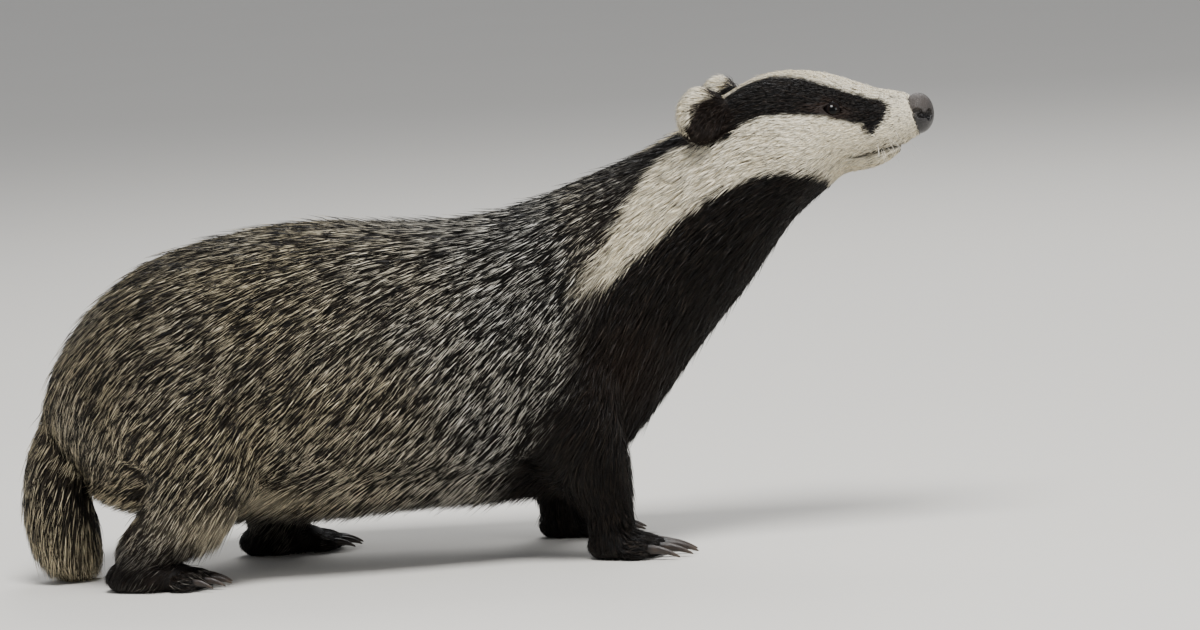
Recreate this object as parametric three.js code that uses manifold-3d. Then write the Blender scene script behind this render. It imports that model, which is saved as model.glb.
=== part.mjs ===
// A European badger as a still, life-size museum model: standing low on four feet, neck stretched
// forward and up, head turned a little to its right, tail hanging.
// Millimetres. +X runs to the nose, +Y to the animal's left, +Z up, and the floor is z = 0.
import * as THREE from "three";
import { mergeVertices } from "three/addons/utils/BufferGeometryUtils.js";
import Module from "manifold-3d";

const wasm = await Module();
wasm.setup();

// Driving dimensions
const GAP = 0.3; // between two nodes that touch
const COAT_DEPTH = 6; // from the tips of the long coat down to its core
const COAT_FRONT = [150, 200]; // x between which the long coat thins out to none on the head
const TURN = { from: 100, to: 190, degrees: 12 }; // stretch of the neck that turns the head right
const TORSO_END = { top: [60, 273], bottom: [88, 66] }; // x, z of the cut before the shoulder
const NECK_END = { top: [166, 319], bottom: [229, 226] }; // x, z of the cut behind the ears

// The body from the rump to the nose before its neck is turned, by pairs of points on its back and
// its underside: top x, top z, bottom x, bottom z, half width, height of the widest place (-1 to 1)
const BODY = [
  [-334, 134, -332, 118, 14, 0],
  [-322, 166, -315, 92, 46, 0],
  [-294, 206, -288, 62, 80, -0.08],
  [-250, 239, -246, 48, 100, -0.14],
  [-196, 255, -191, 42, 108, -0.18],
  [-132, 263, -121, 40, 110, -0.2],
  [-56, 258.5, -51, 43, 106, -0.18],
  [1, 259, 15, 44, 99, -0.12],
  [44, 268, 72, 54, 92, -0.08],
  [84, 283, 116, 92, 80, -0.05],
  [116, 295, 156, 138, 70, 0],
  [144, 308, 197, 188, 62, 0],
  [172, 323, 227, 227, 57, 0],
  [201, 342, 245, 246, 55.5, -0.06],
  [230, 353.5, 258, 256, 56, -0.14],
  [256, 354.6, 271, 265.5, 51.5, -0.16],
  [275, 351.5, 282, 274, 43, -0.12],
  [292, 346, 294, 280, 35, -0.12],
  [309, 340, 308, 287.5, 28.5, -0.2],
  [324, 337, 321.5, 292, 24, -0.25],
  [337, 336, 334, 297, 19.5, -0.15],
  [345, 334, 346, 303.5, 14.8, 0],
];
const BODY_RINGS = 42;
const BODY_SIDES = 24;

// The lower jaw in the same columns, its top inside the muzzle
const JAW = [
  [260, 300, 262, 271, 26, 0],
  [282, 300, 284, 275.5, 24, 0],
  [301, 300, 302, 277.7, 21, 0],
  [314, 299, 315, 281, 18, 0],
  [323.5, 298, 323, 286, 14, 0],
  [330, 296, 328.5, 291, 7.5, 0],
];

// The line between the lips from the corner of the mouth to its front, as x, z
const MOUTH_LINE = [
  [296, 289],
  [308, 290.8],
  [320, 294],
  [331, 295],
  [343, 292],
];
const MOUTH_GROOVE = { width: 1.5, depth: 2.6, reach: 50 };

// Eyes
const EYE = { x: 283.5, y: 31.6, z: 326, radius: 6 };
const LID = { radius: 6.2, thickness: 1.8, outset: 2.6, turnOut: 74, tiltUp: 8 };

// Nose pad, the slanting face between it and the muzzle, and its nostrils
const NOSE = { x: 343.5, z: 318, length: 11.5, halfWidth: 14.5, halfHeight: 15.5 };
const NOSE_BACK = { top: [338, 330], bottom: [345.5, 303] };
const NOSTRILS = [
  { x: 353.5, y: 6.6, z: 318.5, length: 6.5, halfWidth: 3.3, halfHeight: 4 },
  { x: 349.5, y: 11, z: 317.6, length: 4.5, halfWidth: 4.4, halfHeight: 1.8 },
  { x: 344.5, y: 14, z: 321, length: 4, halfWidth: 3, halfHeight: 2.2 },
];
const PHILTRUM = { width: 1.4, depth: 2.4, top: 316 };

// Ears: an oval shell laid back along the head, its cup open to the side and forward
const EAR = { x: 190, y: 47, z: 328.5, length: 22, depth: 8.5, height: 21 };
const EAR_CUP = { x: 3, y: 8, z: 0.5, length: 15.5, depth: 8.5, height: 15 };
const EAR_TURN = { lean: -9, flare: -24, pitch: 12 };

// The tail's centre line, with its half depth and half width to the tips of its hair
const TAIL = [
  [-302, 0, 134, 16, 17],
  [-320, 0, 112, 21, 22],
  [-329, 0, 84, 24, 25],
  [-329, 0, 54, 26, 27],
  [-324, 0, 28, 24, 24],
  [-319, 0, 8, 14, 13],
  [-318, 0, 4, 8, 7],
];

// Legs of the right side and the left side: x, distance from the middle plane, z, half depth, half width
const FORELEG = {
  right: [
    [38, 52, 172, 38, 20],
    [48, 66, 138, 46, 28],
    [64, 72, 98, 38, 26],
    [80, 70, 66, 26, 22],
    [87, 66, 40, 18.5, 18],
    [89, 64, 22, 18, 18.5],
    [91, 63, 8, 17, 19],
  ],
  left: [
    [20, 52, 168, 38, 20],
    [26, 66, 136, 44, 28],
    [36, 72, 98, 36, 26],
    [45, 70, 66, 25, 22],
    [50, 66, 40, 18.5, 18],
    [52, 64, 22, 18, 18.5],
    [54, 63, 8, 17, 19],
  ],
};
const HINDLEG = {
  right: [
    [-240, 60, 178, 50, 26],
    [-228, 76, 140, 56, 32],
    [-216, 84, 104, 48, 32],
    [-222, 82, 72, 35, 29],
    [-243, 76, 47, 25, 25],
    [-263, 72, 29, 20, 21],
    [-276, 71, 14, 17, 19],
  ],
  left: [
    [-210, 60, 178, 50, 26],
    [-184, 76, 140, 54, 32],
    [-160, 84, 104, 45, 32],
    [-151, 82, 73, 33, 29],
    [-157, 76, 48, 24, 25],
    [-170, 72, 29, 20, 21],
    [-182, 71, 14, 17, 19],
  ],
};

// The parts of the body that go with the legs: an oval round the upper joint, and a box round the
// shaft below the belly, its y counted from the middle plane
const SHOULDER = {
  right: { joint: [62, 92, 100], half: [52, 48, 62], low: [40, 40, -5], high: [140, 120, 60] },
  left: { joint: [36, 92, 100], half: [50, 48, 60], low: [10, 40, -5], high: [110, 120, 60] },
};
const THIGH = {
  right: { joint: [-226, 108, 100], half: [72, 56, 84], low: [-320, 40, -5], high: [-150, 125, 50] },
  left: { joint: [-172, 108, 100], half: [72, 56, 84], low: [-230, 40, -5], high: [-90, 125, 50] },
};
const TAIL_ROOT = { x: -322, z: 108, slant: 30, length: 160, width: 76 };

// Feet: place of the heel, turn-out, sole rows as x, z, half height, half width, then toes and claws
const FOREFOOT = {
  heel: { right: [78, 63], left: [41, 63] },
  turnOut: 7,
  sole: [
    [-8, 8.5, 10, 13],
    [8, 11, 13.5, 19],
    [22, 9.5, 12, 22],
    [34, 7, 9.5, 22],
  ],
  toe: { length: 15, width: 6.2, height: 8.2, z: 6.8 },
  toes: [
    [30, -19, -14],
    [37.5, -10.2, -6],
    [40, 0, 0],
    [38, 10.2, 6],
    [30.5, 19, 15],
  ],
  claw: { length: 25, height: 3.6, width: 2.3, drop: 0.9 },
};
const HINDFOOT = {
  heel: { right: [-281, 71], left: [-187, 71] },
  turnOut: 10,
  sole: [
    [-12, 8.5, 10, 12],
    [8, 10.5, 13, 16],
    [34, 10.5, 13, 19],
    [56, 7, 9.5, 20],
  ],
  toe: { length: 13, width: 5.6, height: 7.4, z: 6 },
  toes: [
    [51, -17, -12],
    [57.5, -9.2, -5],
    [60, 0, 0],
    [58, 9.2, 5],
    [52, 17, 13],
  ],
  claw: { length: 15, height: 2.9, width: 2, drop: 0.75 },
};

const NAIL_AT = 0.72; // how far along each toe its claw starts

// Locks of the long coat: which way they lie along their surface, their size, how far their roots
// reach under the core, and how steeply they slant down from straight back. Their rows stand at even
// shares of the surface's length, and the locks of a row at even places round it.
const BODY_LOCKS = {
  heading: -1,
  length: 98,
  width: 56,
  thickness: 5,
  sink: 4,
  slant: 36,
  rows: 9,
  rowsFrom: 0.09,
  rowsTo: 0.72,
  beside: 1.25,
  covers: (at, around) => Math.sin(around) > -0.6,
};
const TAIL_LOCKS = {
  heading: 1,
  length: 60,
  width: 32,
  thickness: 4,
  core: 4,
  sink: 4,
  slant: 0,
  rows: 3,
  rowsFrom: 0.05,
  rowsTo: 0.6,
  beside: 1.1,
  covers: () => true,
};
const THIGH_LOCKS = {
  heading: 1,
  length: 66,
  width: 46,
  thickness: 4.5,
  core: 3.5,
  sink: 4,
  slant: 0,
  rows: 2,
  rowsFrom: 0.14,
  rowsTo: 0.4,
  beside: 1.15,
  covers: (at) => Math.abs(at.y) > 95,
};
// The most by which a lock differs from its row: share of size, degrees, place, bend and height
const UNEVEN = { size: 0.14, slant: 9, place: 0.25, bend: 0.09, lift: 0.6 };
const NEAR = 0.002; // a short step along or around a surface

// Colours
const finish = (hex, roughness) => new THREE.MeshStandardMaterial({ color: hex, roughness, metalness: 0 });
const GRIZZLED_COAT = finish("#5c5850", 0.85);
const STRIPED_COAT = finish("#cfcabb", 0.85);
const BLACK_COAT = finish("#1d1a18", 0.85);
const TAIL_COAT = finish("#8c8069", 0.85);
const NOSE_SKIN = finish("#1c1a1a", 0.45);
const EYE_DARK = finish("#0b0807", 0.08);
const HORN = finish("#6d5a49", 0.5);

const radians = THREE.MathUtils.degToRad;
const vec = (x, y, z) => new THREE.Vector3(x, y, z);

// A point of the straight body, moved along the arc on which the neck turns the head right
const TURN_RADIUS = (TURN.to - TURN.from) / radians(TURN.degrees);
function turned(point) {
  const along = THREE.MathUtils.clamp(point.x - TURN.from, 0, TURN.to - TURN.from);
  const past = point.x - TURN.from - along;
  const angle = along / TURN_RADIUS;
  const out = TURN_RADIUS + point.y;
  return vec(
    TURN.from + out * Math.sin(angle) + past * Math.cos(angle),
    out * Math.cos(angle) - TURN_RADIUS - past * Math.sin(angle),
    point.z,
  );
}

// The same move for what sits on the head, which turns as one piece
const headPlace = new THREE.Matrix4().makeRotationZ(-radians(TURN.degrees));
const neckTop = vec(TURN.to, 0, 0);
headPlace.setPosition(turned(neckTop).sub(neckTop.clone().applyMatrix4(headPlace)));

// A closed geometry as a solid, its shared vertices merged and its faces pointing out
function solidOf(geometry) {
  geometry.deleteAttribute("normal");
  geometry.deleteAttribute("uv");
  const merged = mergeVertices(geometry, 1e-4);
  const vertProperties = new Float32Array(merged.attributes.position.array);
  const triVerts = new Uint32Array(merged.index.array);
  const made = new wasm.Manifold(new wasm.Mesh({ numProp: 3, vertProperties, triVerts }));
  if (made.volume() > 0) return made;
  triVerts.reverse();
  return new wasm.Manifold(new wasm.Mesh({ numProp: 3, vertProperties, triVerts }));
}

// A ball whose vertices are moved by place(along, around): along runs 0 to 1 from pole to pole
function wrapped(sides, rings, place) {
  const geometry = new THREE.SphereGeometry(1, sides, rings);
  const position = geometry.attributes.position;
  for (let i = 0; i < position.count; i++) {
    const along = Math.floor(i / (sides + 1)) / rings;
    const around = (2 * Math.PI * (i % (sides + 1) % sides)) / sides;
    position.setXYZ(i, ...place(along, around));
  }
  return solidOf(geometry);
}

// Smooth curves through the columns of a table of rows
const through = (rows, pick) => new THREE.CatmullRomCurve3(rows.map((row) => vec(...pick(row))));
const atPole = (along) => (along === 0 || along === 1 ? 0 : 1);

// A surface given by pairs of points on its back and its underside, which place(along, around, grow)
// follows at a height above it
function flank(rows) {
  const tops = through(rows, (r) => [r[0], 0, r[1]]);
  const bottoms = through(rows, (r) => [r[2], 0, r[3]]);
  const widths = through(rows, (r) => [r[4], r[5], 0]);
  return (along, around, grow) => {
    const middle = tops.getPoint(along);
    const half = middle.clone().sub(bottoms.getPoint(along)).multiplyScalar(0.5);
    middle.sub(half);
    const width = widths.getPoint(along);
    const up = Math.sin(around) + width.y * Math.cos(around) ** 2;
    middle.addScaledVector(half, atPole(along) * up * (1 + grow / half.length()));
    middle.y += atPole(along) * Math.cos(around) * (width.x + grow);
    return turned(middle);
  };
}

// The same for a limb given by its centre line, half depth and half width
const lineOf = (rows) => through(rows, (r) => r.slice(0, 3));
function limb(rows) {
  const line = lineOf(rows);
  const sizes = through(rows, (r) => [r[3], r[4], 0]);
  return (along, around, grow) => {
    const at = line.getPoint(along);
    const size = sizes.getPoint(along);
    const ahead = line.getTangent(along);
    const side = vec(0, 1, 0).addScaledVector(ahead, -ahead.y).normalize();
    const depth = new THREE.Vector3().crossVectors(ahead, side);
    at.addScaledVector(side, atPole(along) * Math.cos(around) * (size.y + grow));
    return at.addScaledVector(depth, atPole(along) * Math.sin(around) * (size.x + grow));
  };
}

// A surface as a solid at a height above it
const skinned = (sides, rings, surface, grow = 0) => wrapped(sides, rings, (a, b) => surface(a, b, grow));

// An oval of three half sizes about a centre
function oval(center, half, sides, rings) {
  const geometry = new THREE.SphereGeometry(1, sides, rings).scale(...half).translate(...center);
  return solidOf(geometry);
}

const joined = (solids) => wasm.Manifold.union(solids);
const largest = (solid) => solid.decompose().reduce((a, b) => (a.volume() > b.volume() ? a : b));
const moved = (solid, matrix) => solid.transform(Array.from(matrix.elements));
const onHead = (solid) => moved(solid, headPlace);

// Parts a solid across the head or body by a slanting plane through two points seen from the side
function parted(solid, { top, bottom }, place = new THREE.Matrix4()) {
  const normal = vec(top[1] - bottom[1], 0, bottom[0] - top[0]).normalize();
  const point = vec(top[0], 0, top[1]).applyMatrix4(place);
  normal.transformDirection(place);
  const offset = normal.dot(point);
  const behind = solid.trimByPlane(normal.clone().negate().toArray(), GAP / 2 - offset);
  const before = solid.trimByPlane(normal.toArray(), offset + GAP / 2);
  return { behind, before };
}

// A thin band between the lips, only as deep as the groove
function mouthGroove() {
  const { width, depth, reach } = MOUTH_GROOVE;
  const upper = MOUTH_LINE.map(([x, z]) => new THREE.Vector2(x, z + width / 2));
  const lower = MOUTH_LINE.map(([x, z]) => new THREE.Vector2(x, z - width / 2));
  const outline = new THREE.Shape([...upper, ...lower.reverse()]);
  const band = new THREE.ExtrudeGeometry(outline, { depth: 2 * reach, bevelEnabled: false });
  band.rotateX(Math.PI / 2).translate(0, reach, 0);
  return onHead(solidOf(band)).subtract(flesh(-depth));
}

// How far the core of the body lies under the tips of its coat
const bodySurface = flank(BODY);
const coatDepth = (x) => COAT_DEPTH * (1 - THREE.MathUtils.smoothstep(x, ...COAT_FRONT));

// Flesh of the whole body without its limbs
function flesh(grow) {
  const body = wrapped(BODY_SIDES, BODY_RINGS, (along, around) => {
    const at = bodySurface(along, around, 0);
    return bodySurface(along, around, grow - coatDepth(at.x));
  });
  return body.add(skinned(12, 9, flank(JAW), grow));
}

// One eye, its socket and the lids round it
function eyeParts(side) {
  const center = vec(EYE.x, side * EYE.y, EYE.z);
  const [turnOut, tiltUp] = [radians(LID.turnOut), radians(LID.tiltUp)];
  const out = vec(Math.cos(turnOut), side * Math.sin(turnOut), Math.sin(tiltUp)).normalize();
  const lidPlace = new THREE.Matrix4().lookAt(out, vec(0, 0, 0), vec(0, 0, 1));
  lidPlace.setPosition(center.clone().addScaledVector(out, LID.outset));
  const lid = new THREE.TorusGeometry(LID.radius, LID.thickness, 6, 12).scale(1.2, 0.85, 1);
  const ball = (radius) => onHead(oval(center.toArray(), [radius, radius, radius], 12, 8));
  return {
    ball: ball(EYE.radius),
    socket: ball(EYE.radius + GAP),
    lid: onHead(solidOf(lid.applyMatrix4(lidPlace))),
  };
}

function nosePad() {
  const pad = oval([NOSE.x, 0, NOSE.z], [NOSE.length, NOSE.halfWidth, NOSE.halfHeight], 14, 10);
  const holes = [1, -1].flatMap((side) =>
    NOSTRILS.map((n) => oval([n.x, side * n.y, n.z], [n.length, n.halfWidth, n.halfHeight], 6, 5)),
  );
  const groove = new THREE.BoxGeometry(PHILTRUM.depth * 2, PHILTRUM.width, NOSE.halfHeight * 2);
  groove.translate(NOSE.x + NOSE.length, 0, PHILTRUM.top - NOSE.halfHeight);
  return onHead(pad.subtract(joined([...holes, solidOf(groove)])));
}

function ear(side, fleshGrown) {
  const shell = oval([0, 0, 0], [EAR.length, EAR.depth, EAR.height], 12, 9);
  const cup = oval([EAR_CUP.x, EAR_CUP.y, EAR_CUP.z], [EAR_CUP.length, EAR_CUP.depth, EAR_CUP.height], 10, 7);
  const turn = new THREE.Euler(radians(EAR_TURN.lean), radians(-EAR_TURN.pitch), radians(EAR_TURN.flare));
  const place = new THREE.Matrix4().makeRotationFromEuler(turn).setPosition(EAR.x, EAR.y, EAR.z);
  const made = moved(shell.subtract(cup), place);
  return largest(onHead(side > 0 ? made : made.mirror([0, 1, 0])).subtract(fleshGrown));
}

// A foot with five toes, and its claws, in the foot's own frame with the heel at the origin
function footParts(foot, grow) {
  const rows = foot.sole.map(([x, z, halfHeight, halfWidth]) => [x, 0, z, halfHeight, halfWidth]);
  const pieces = [skinned(10, 6, limb(rows), grow)];
  const claws = [];
  for (const [x, y, splay] of foot.toes) {
    const place = new THREE.Matrix4().makeRotationZ(radians(splay)).setPosition(x, y, 0);
    const { length, width, height, z } = foot.toe;
    const toe = oval([0, 0, z], [length, width + grow, height + grow], 6, 5);
    const nail = length * NAIL_AT;
    pieces.push(moved(toe.trimByPlane([-1, 0, 0], -nail), place));
    claws.push(moved(clawShape(foot, nail + GAP), place));
  }
  return { foot: joined(pieces).trimByPlane([0, 0, 1], 0), claws };
}

// One claw, an arc that starts at the toe's flat end and bends down to its tip
function clawShape(foot, start) {
  const { length, height, width, drop } = foot.claw;
  const root = foot.toe.z + 1.5;
  const rows = [0, 0.25, 0.5, 0.75, 1].map((s) => {
    const sink = (root - 1.2) * drop * s ** 2.2;
    const thin = 1 - 0.85 * s ** 1.6;
    return [start + length * s, 0, root - sink, height * thin, width * thin];
  });
  return skinned(6, 5, limb(rows)).trimByPlane([1, 0, 0], start);
}

// Random numbers that come out the same each time
function randomFrom(seed) {
  let state = seed;
  return () => {
    state = (state * 1664525 + 1013904223) % 4294967296;
    return (2 * state) / 4294967296 - 1;
  };
}

// One flat, tapered lock that starts under the core at along, around on a surface and lies back over
// it, slanting down the flank.
function lock(surface, along, around, size, random) {
  const at = surface(along, around, 0);
  const perAlong = surface(along + NEAR, around, 0).distanceTo(at) / NEAR;
  const perAround = surface(along, around + NEAR, 0).distanceTo(at) / NEAR;
  const [length, width] = [size.length, size.width].map((full) => full * (1 + UNEVEN.size * random()));
  const down = THREE.MathUtils.clamp(-1.2 * Math.cos(around), -1, 1);
  const slant = radians(down * size.slant + UNEVEN.slant * random());
  const bend = UNEVEN.bend * random();
  const lift = UNEVEN.lift * random();
  return wrapped(4, 3, (s, turn) => {
    const taper = atPole(s) * Math.sin(Math.PI * s ** 0.8) ** 0.6;
    const back = length * s;
    const across = Math.cos(turn) * (width / 2) * taper + bend * back * s;
    const height = lift - (COAT_DEPTH + size.sink) * (1 - s) ** 1.9;
    const thick = Math.sin(turn) * (size.thickness / 2) * taper;
    const moveAlong = (size.heading * (back * Math.cos(slant) - across * Math.sin(slant))) / perAlong;
    const moveAround = (back * Math.sin(slant) + across * Math.cos(slant)) / perAround;
    const to = THREE.MathUtils.clamp(along + moveAlong, NEAR, 1 - NEAR);
    return surface(to, around + moveAround, height + thick);
  });
}

// Rows of locks over a surface, evenly spaced along its spine, each row set between the locks of the
// row before
function locks(surface, spine, size, random) {
  const made = [];
  for (let row = 0; row < size.rows; row++) {
    const share = THREE.MathUtils.lerp(size.rowsFrom, size.rowsTo, row / (size.rows - 1));
    const along = spine.getUtoTmapping(share);
    const count = Math.round(girth(surface, along) / (size.width * size.beside));
    for (let i = 0; i < count; i++) {
      const around = (2 * Math.PI * (i + 0.5 * (row % 2) + UNEVEN.place * random())) / count;
      if (!size.covers(surface(along, around, 0), around)) continue;
      made.push(lock(surface, along, around, size, random));
    }
  }
  return made;
}

// The way round a surface at a place along it
function girth(surface, along) {
  const corners = Array.from({ length: 17 }, (_, i) => surface(along, (i * Math.PI) / 8, 0));
  return corners.slice(1).reduce((sum, point, i) => sum + point.distanceTo(corners[i]), 0);
}

// The core of a limb and the locks over it
const coated = (rows, sides, rings, size, random) => [
  skinned(sides, rings, limb(rows), -size.core),
  ...locks(limb(rows), lineOf(rows), size, random),
];

// An upright box between two corners
function block(low, high) {
  const [from, to] = [vec(...low), vec(...high)];
  const size = to.clone().sub(from);
  const middle = from.add(to).multiplyScalar(0.5);
  return solidOf(new THREE.BoxGeometry(...size).translate(...middle));
}

// The space that a leg takes from the body: a thigh or shoulder, and a box round its lower end
function legSpace({ joint, half, low, high }, side, grow) {
  const [x, y, z] = joint;
  const ends = [low[1] - grow, high[1] + grow].map((across) => side * across);
  const shaft = block(
    [low[0] - grow, Math.min(...ends), low[2] - grow],
    [high[0] + grow, Math.max(...ends), high[2] + grow],
  );
  return shaft.add(oval([x, side * y, z], half.map((size) => size + grow), 12, 8));
}

// The space that the tail takes behind a slanting face of the rump
function tailSpace(grow) {
  const { x, z, slant, length, width } = TAIL_ROOT;
  const space = new THREE.BoxGeometry(length + grow, width + 2 * grow, 2 * length);
  space.translate((grow - length) / 2, 0, -length / 2).rotateY(radians(-slant)).translate(x, 0, z);
  return solidOf(space);
}

function footPlace(foot, sideName) {
  const side = sideName === "left" ? 1 : -1;
  const [x, y] = foot.heel[sideName];
  return new THREE.Matrix4().makeRotationZ(side * radians(foot.turnOut)).setPosition(x, side * y, 0);
}

// Assembly
const badger = new THREE.Group();

function addNode(name, solid, material) {
  const { numProp, vertProperties, triVerts } = solid.getMesh();
  const position = new Float32Array((vertProperties.length / numProp) * 3);
  for (let i = 0; i < position.length / 3; i++) {
    position.set(vertProperties.subarray(i * numProp, i * numProp + 3), i * 3);
  }
  const geometry = new THREE.BufferGeometry();
  geometry.setAttribute("position", new THREE.BufferAttribute(position, 3));
  geometry.setIndex(new THREE.BufferAttribute(new Uint32Array(triVerts), 1));
  const mesh = new THREE.Mesh(geometry, material);
  mesh.name = name;
  badger.add(mesh);
}

const SIDES = [
  ["left", 1],
  ["right", -1],
];
const eyes = { left: eyeParts(1), right: eyeParts(-1) };
const fleshGrown = flesh(GAP);
const lids = [eyes.left.lid, eyes.right.lid];
const random = randomFrom(7);
const spine = through(BODY, (r) => [(r[0] + r[2]) / 2, 0, (r[1] + r[3]) / 2]);
const bodyLocks = locks(bodySurface, spine, BODY_LOCKS, random);
const tail = coated(TAIL, 10, 9, TAIL_LOCKS, random);
const legs = SIDES.flatMap(([sideName, side]) => {
  const rowsOf = (leg) => leg[sideName].map(([x, y, ...rest]) => [x, side * y, ...rest]);
  return [
    skinned(12, 9, limb(rowsOf(FORELEG))),
    ...coated(rowsOf(HINDLEG), 12, 9, THIGH_LOCKS, random),
  ];
});

// The whole coated body, then the spaces that the tail and the legs take from it
const dressed = joined([flesh(0).subtract(mouthGroove()), ...lids, ...bodyLocks, ...tail, ...legs]);
const whole = dressed.subtract(eyes.left.socket).subtract(eyes.right.socket);
const spaces = (grow) => {
  const made = { tail: tailSpace(grow) };
  for (const [sideName, side] of SIDES) {
    made[`foreleg_${sideName}`] = legSpace(SHOULDER[sideName], side, grow);
    made[`hindleg_${sideName}`] = legSpace(THIGH[sideName], side, grow);
  }
  return made;
};
const limbSpaces = spaces(0);
const bare = whole.subtract(joined(Object.values(spaces(GAP))));
const rear = parted(bare, TORSO_END);
const front = parted(rear.before, NECK_END, headPlace);
const head = parted(front.before, NOSE_BACK, headPlace).behind;
const nose = parted(nosePad(), NOSE_BACK, headPlace).before;

addNode("torso", largest(rear.behind), GRIZZLED_COAT);
addNode("neck", largest(front.behind), STRIPED_COAT);
addNode("head", largest(head), STRIPED_COAT);
addNode("nose_pad", largest(nose), NOSE_SKIN);
addNode("tail", largest(whole.intersect(limbSpaces.tail)), TAIL_COAT);

for (const [sideName, side] of SIDES) {
  addNode(`eye_${sideName}`, eyes[sideName].ball, EYE_DARK);
  addNode(`ear_${sideName}`, ear(side, fleshGrown), BLACK_COAT);
  for (const [legName, footName, foot] of [
    ["foreleg", "forefoot", FOREFOOT],
    ["hindleg", "hindfoot", HINDFOOT],
  ]) {
    const place = footPlace(foot, sideName);
    const made = footParts(foot, 0);
    const footGrown = moved(footParts(foot, GAP).foot, place);
    const leg = whole.intersect(limbSpaces[`${legName}_${sideName}`]).subtract(footGrown);
    addNode(`${legName}_${sideName}`, largest(leg.trimByPlane([0, 0, 1], 0.5)), BLACK_COAT);
    addNode(`${footName}_${sideName}`, largest(moved(made.foot, place)), BLACK_COAT);
    for (const [i, claw] of made.claws.entries()) {
      addNode(`${footName}_${sideName}_claw_${i + 1}`, moved(claw, place), HORN);
    }
  }
}

export default badger;
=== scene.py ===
"""A European badger as a still, life-size museum model: skin, coat, eyes, nose and claws.

Tables are in millimetres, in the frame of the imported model: +X runs to the nose, +Y to the
animal's left and +Z up from the floor. Blender's own objects are in metres.
"""

import math

import bmesh
import bpy
import numpy as np
from bpy.props import FloatProperty, FloatVectorProperty, IntProperty, PointerProperty
from mathutils import Matrix, Vector
from mathutils.bvhtree import BVHTree
from mathutils.kdtree import KDTree


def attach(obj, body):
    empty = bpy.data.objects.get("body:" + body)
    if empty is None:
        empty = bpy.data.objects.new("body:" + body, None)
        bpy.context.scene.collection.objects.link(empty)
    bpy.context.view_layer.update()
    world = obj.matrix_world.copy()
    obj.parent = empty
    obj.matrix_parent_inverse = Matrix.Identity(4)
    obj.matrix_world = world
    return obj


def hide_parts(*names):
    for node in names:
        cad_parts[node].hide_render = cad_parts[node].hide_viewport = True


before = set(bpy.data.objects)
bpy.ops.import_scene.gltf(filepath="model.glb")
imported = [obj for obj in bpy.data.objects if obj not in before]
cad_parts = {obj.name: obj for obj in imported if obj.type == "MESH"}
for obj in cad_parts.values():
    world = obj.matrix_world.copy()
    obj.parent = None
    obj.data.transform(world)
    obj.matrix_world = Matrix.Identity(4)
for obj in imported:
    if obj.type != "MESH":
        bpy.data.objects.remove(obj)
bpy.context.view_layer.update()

bl_info = {
    "name": "European badger",
    "version": (1, 0, 0),
    "blender": (4, 5, 0),
    "location": "View3D > Sidebar > Badger",
    "description": "Skin, coat, eyes, nose and claws of a standing badger",
    "category": "Add Mesh",
}

MM = 0.001
SIDES = {"left": 1, "right": -1}
FEET = ("forefoot", "hindfoot")

# Neck and head turn to the right along an arc over this stretch of x
TURN = {"start": 100, "end": 190, "degrees": 12}
TURN_ANGLE = math.radians(TURN["degrees"])
TURN_RADIUS = (TURN["end"] - TURN["start"]) / TURN_ANGLE

# The body from the rump to the nose before its neck is turned: top x, top z, bottom x, bottom z,
# half width, height of the widest place
BODY = [
    (-334, 134, -332, 118, 14, 0),
    (-322, 166, -315, 92, 46, 0),
    (-294, 206, -288, 62, 80, -0.08),
    (-250, 239, -246, 48, 100, -0.14),
    (-196, 255, -191, 42, 108, -0.18),
    (-132, 263, -121, 40, 110, -0.2),
    (-56, 258.5, -51, 43, 106, -0.18),
    (1, 259, 15, 44, 99, -0.12),
    (44, 268, 72, 54, 92, -0.08),
    (84, 283, 116, 92, 80, -0.05),
    (116, 295, 156, 138, 70, 0),
    (144, 308, 197, 188, 62, 0),
    (172, 323, 227, 227, 57, 0),
    (201, 342, 245, 246, 55.5, -0.06),
    (230, 353.5, 258, 256, 56, -0.14),
    (256, 354.6, 271, 265.5, 51.5, -0.16),
    (275, 351.5, 282, 274, 43, -0.12),
    (292, 346, 294, 280, 35, -0.12),
    (309, 340, 308, 287.5, 28.5, -0.2),
    (324, 337, 321.5, 292, 24, -0.25),
    (337, 336, 334, 297, 19.5, -0.15),
    (345, 334, 349, 303, 14.4, 0),
]
JAW = [
    (260, 300, 262, 271, 26, 0),
    (282, 300, 284, 275.5, 24, 0),
    (301, 300, 302, 277.7, 21, 0),
    (314, 299, 315, 281, 18, 0),
    (323.5, 298, 323, 286, 14, 0),
    (330, 296, 328.5, 291, 7.5, 0),
]

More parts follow.
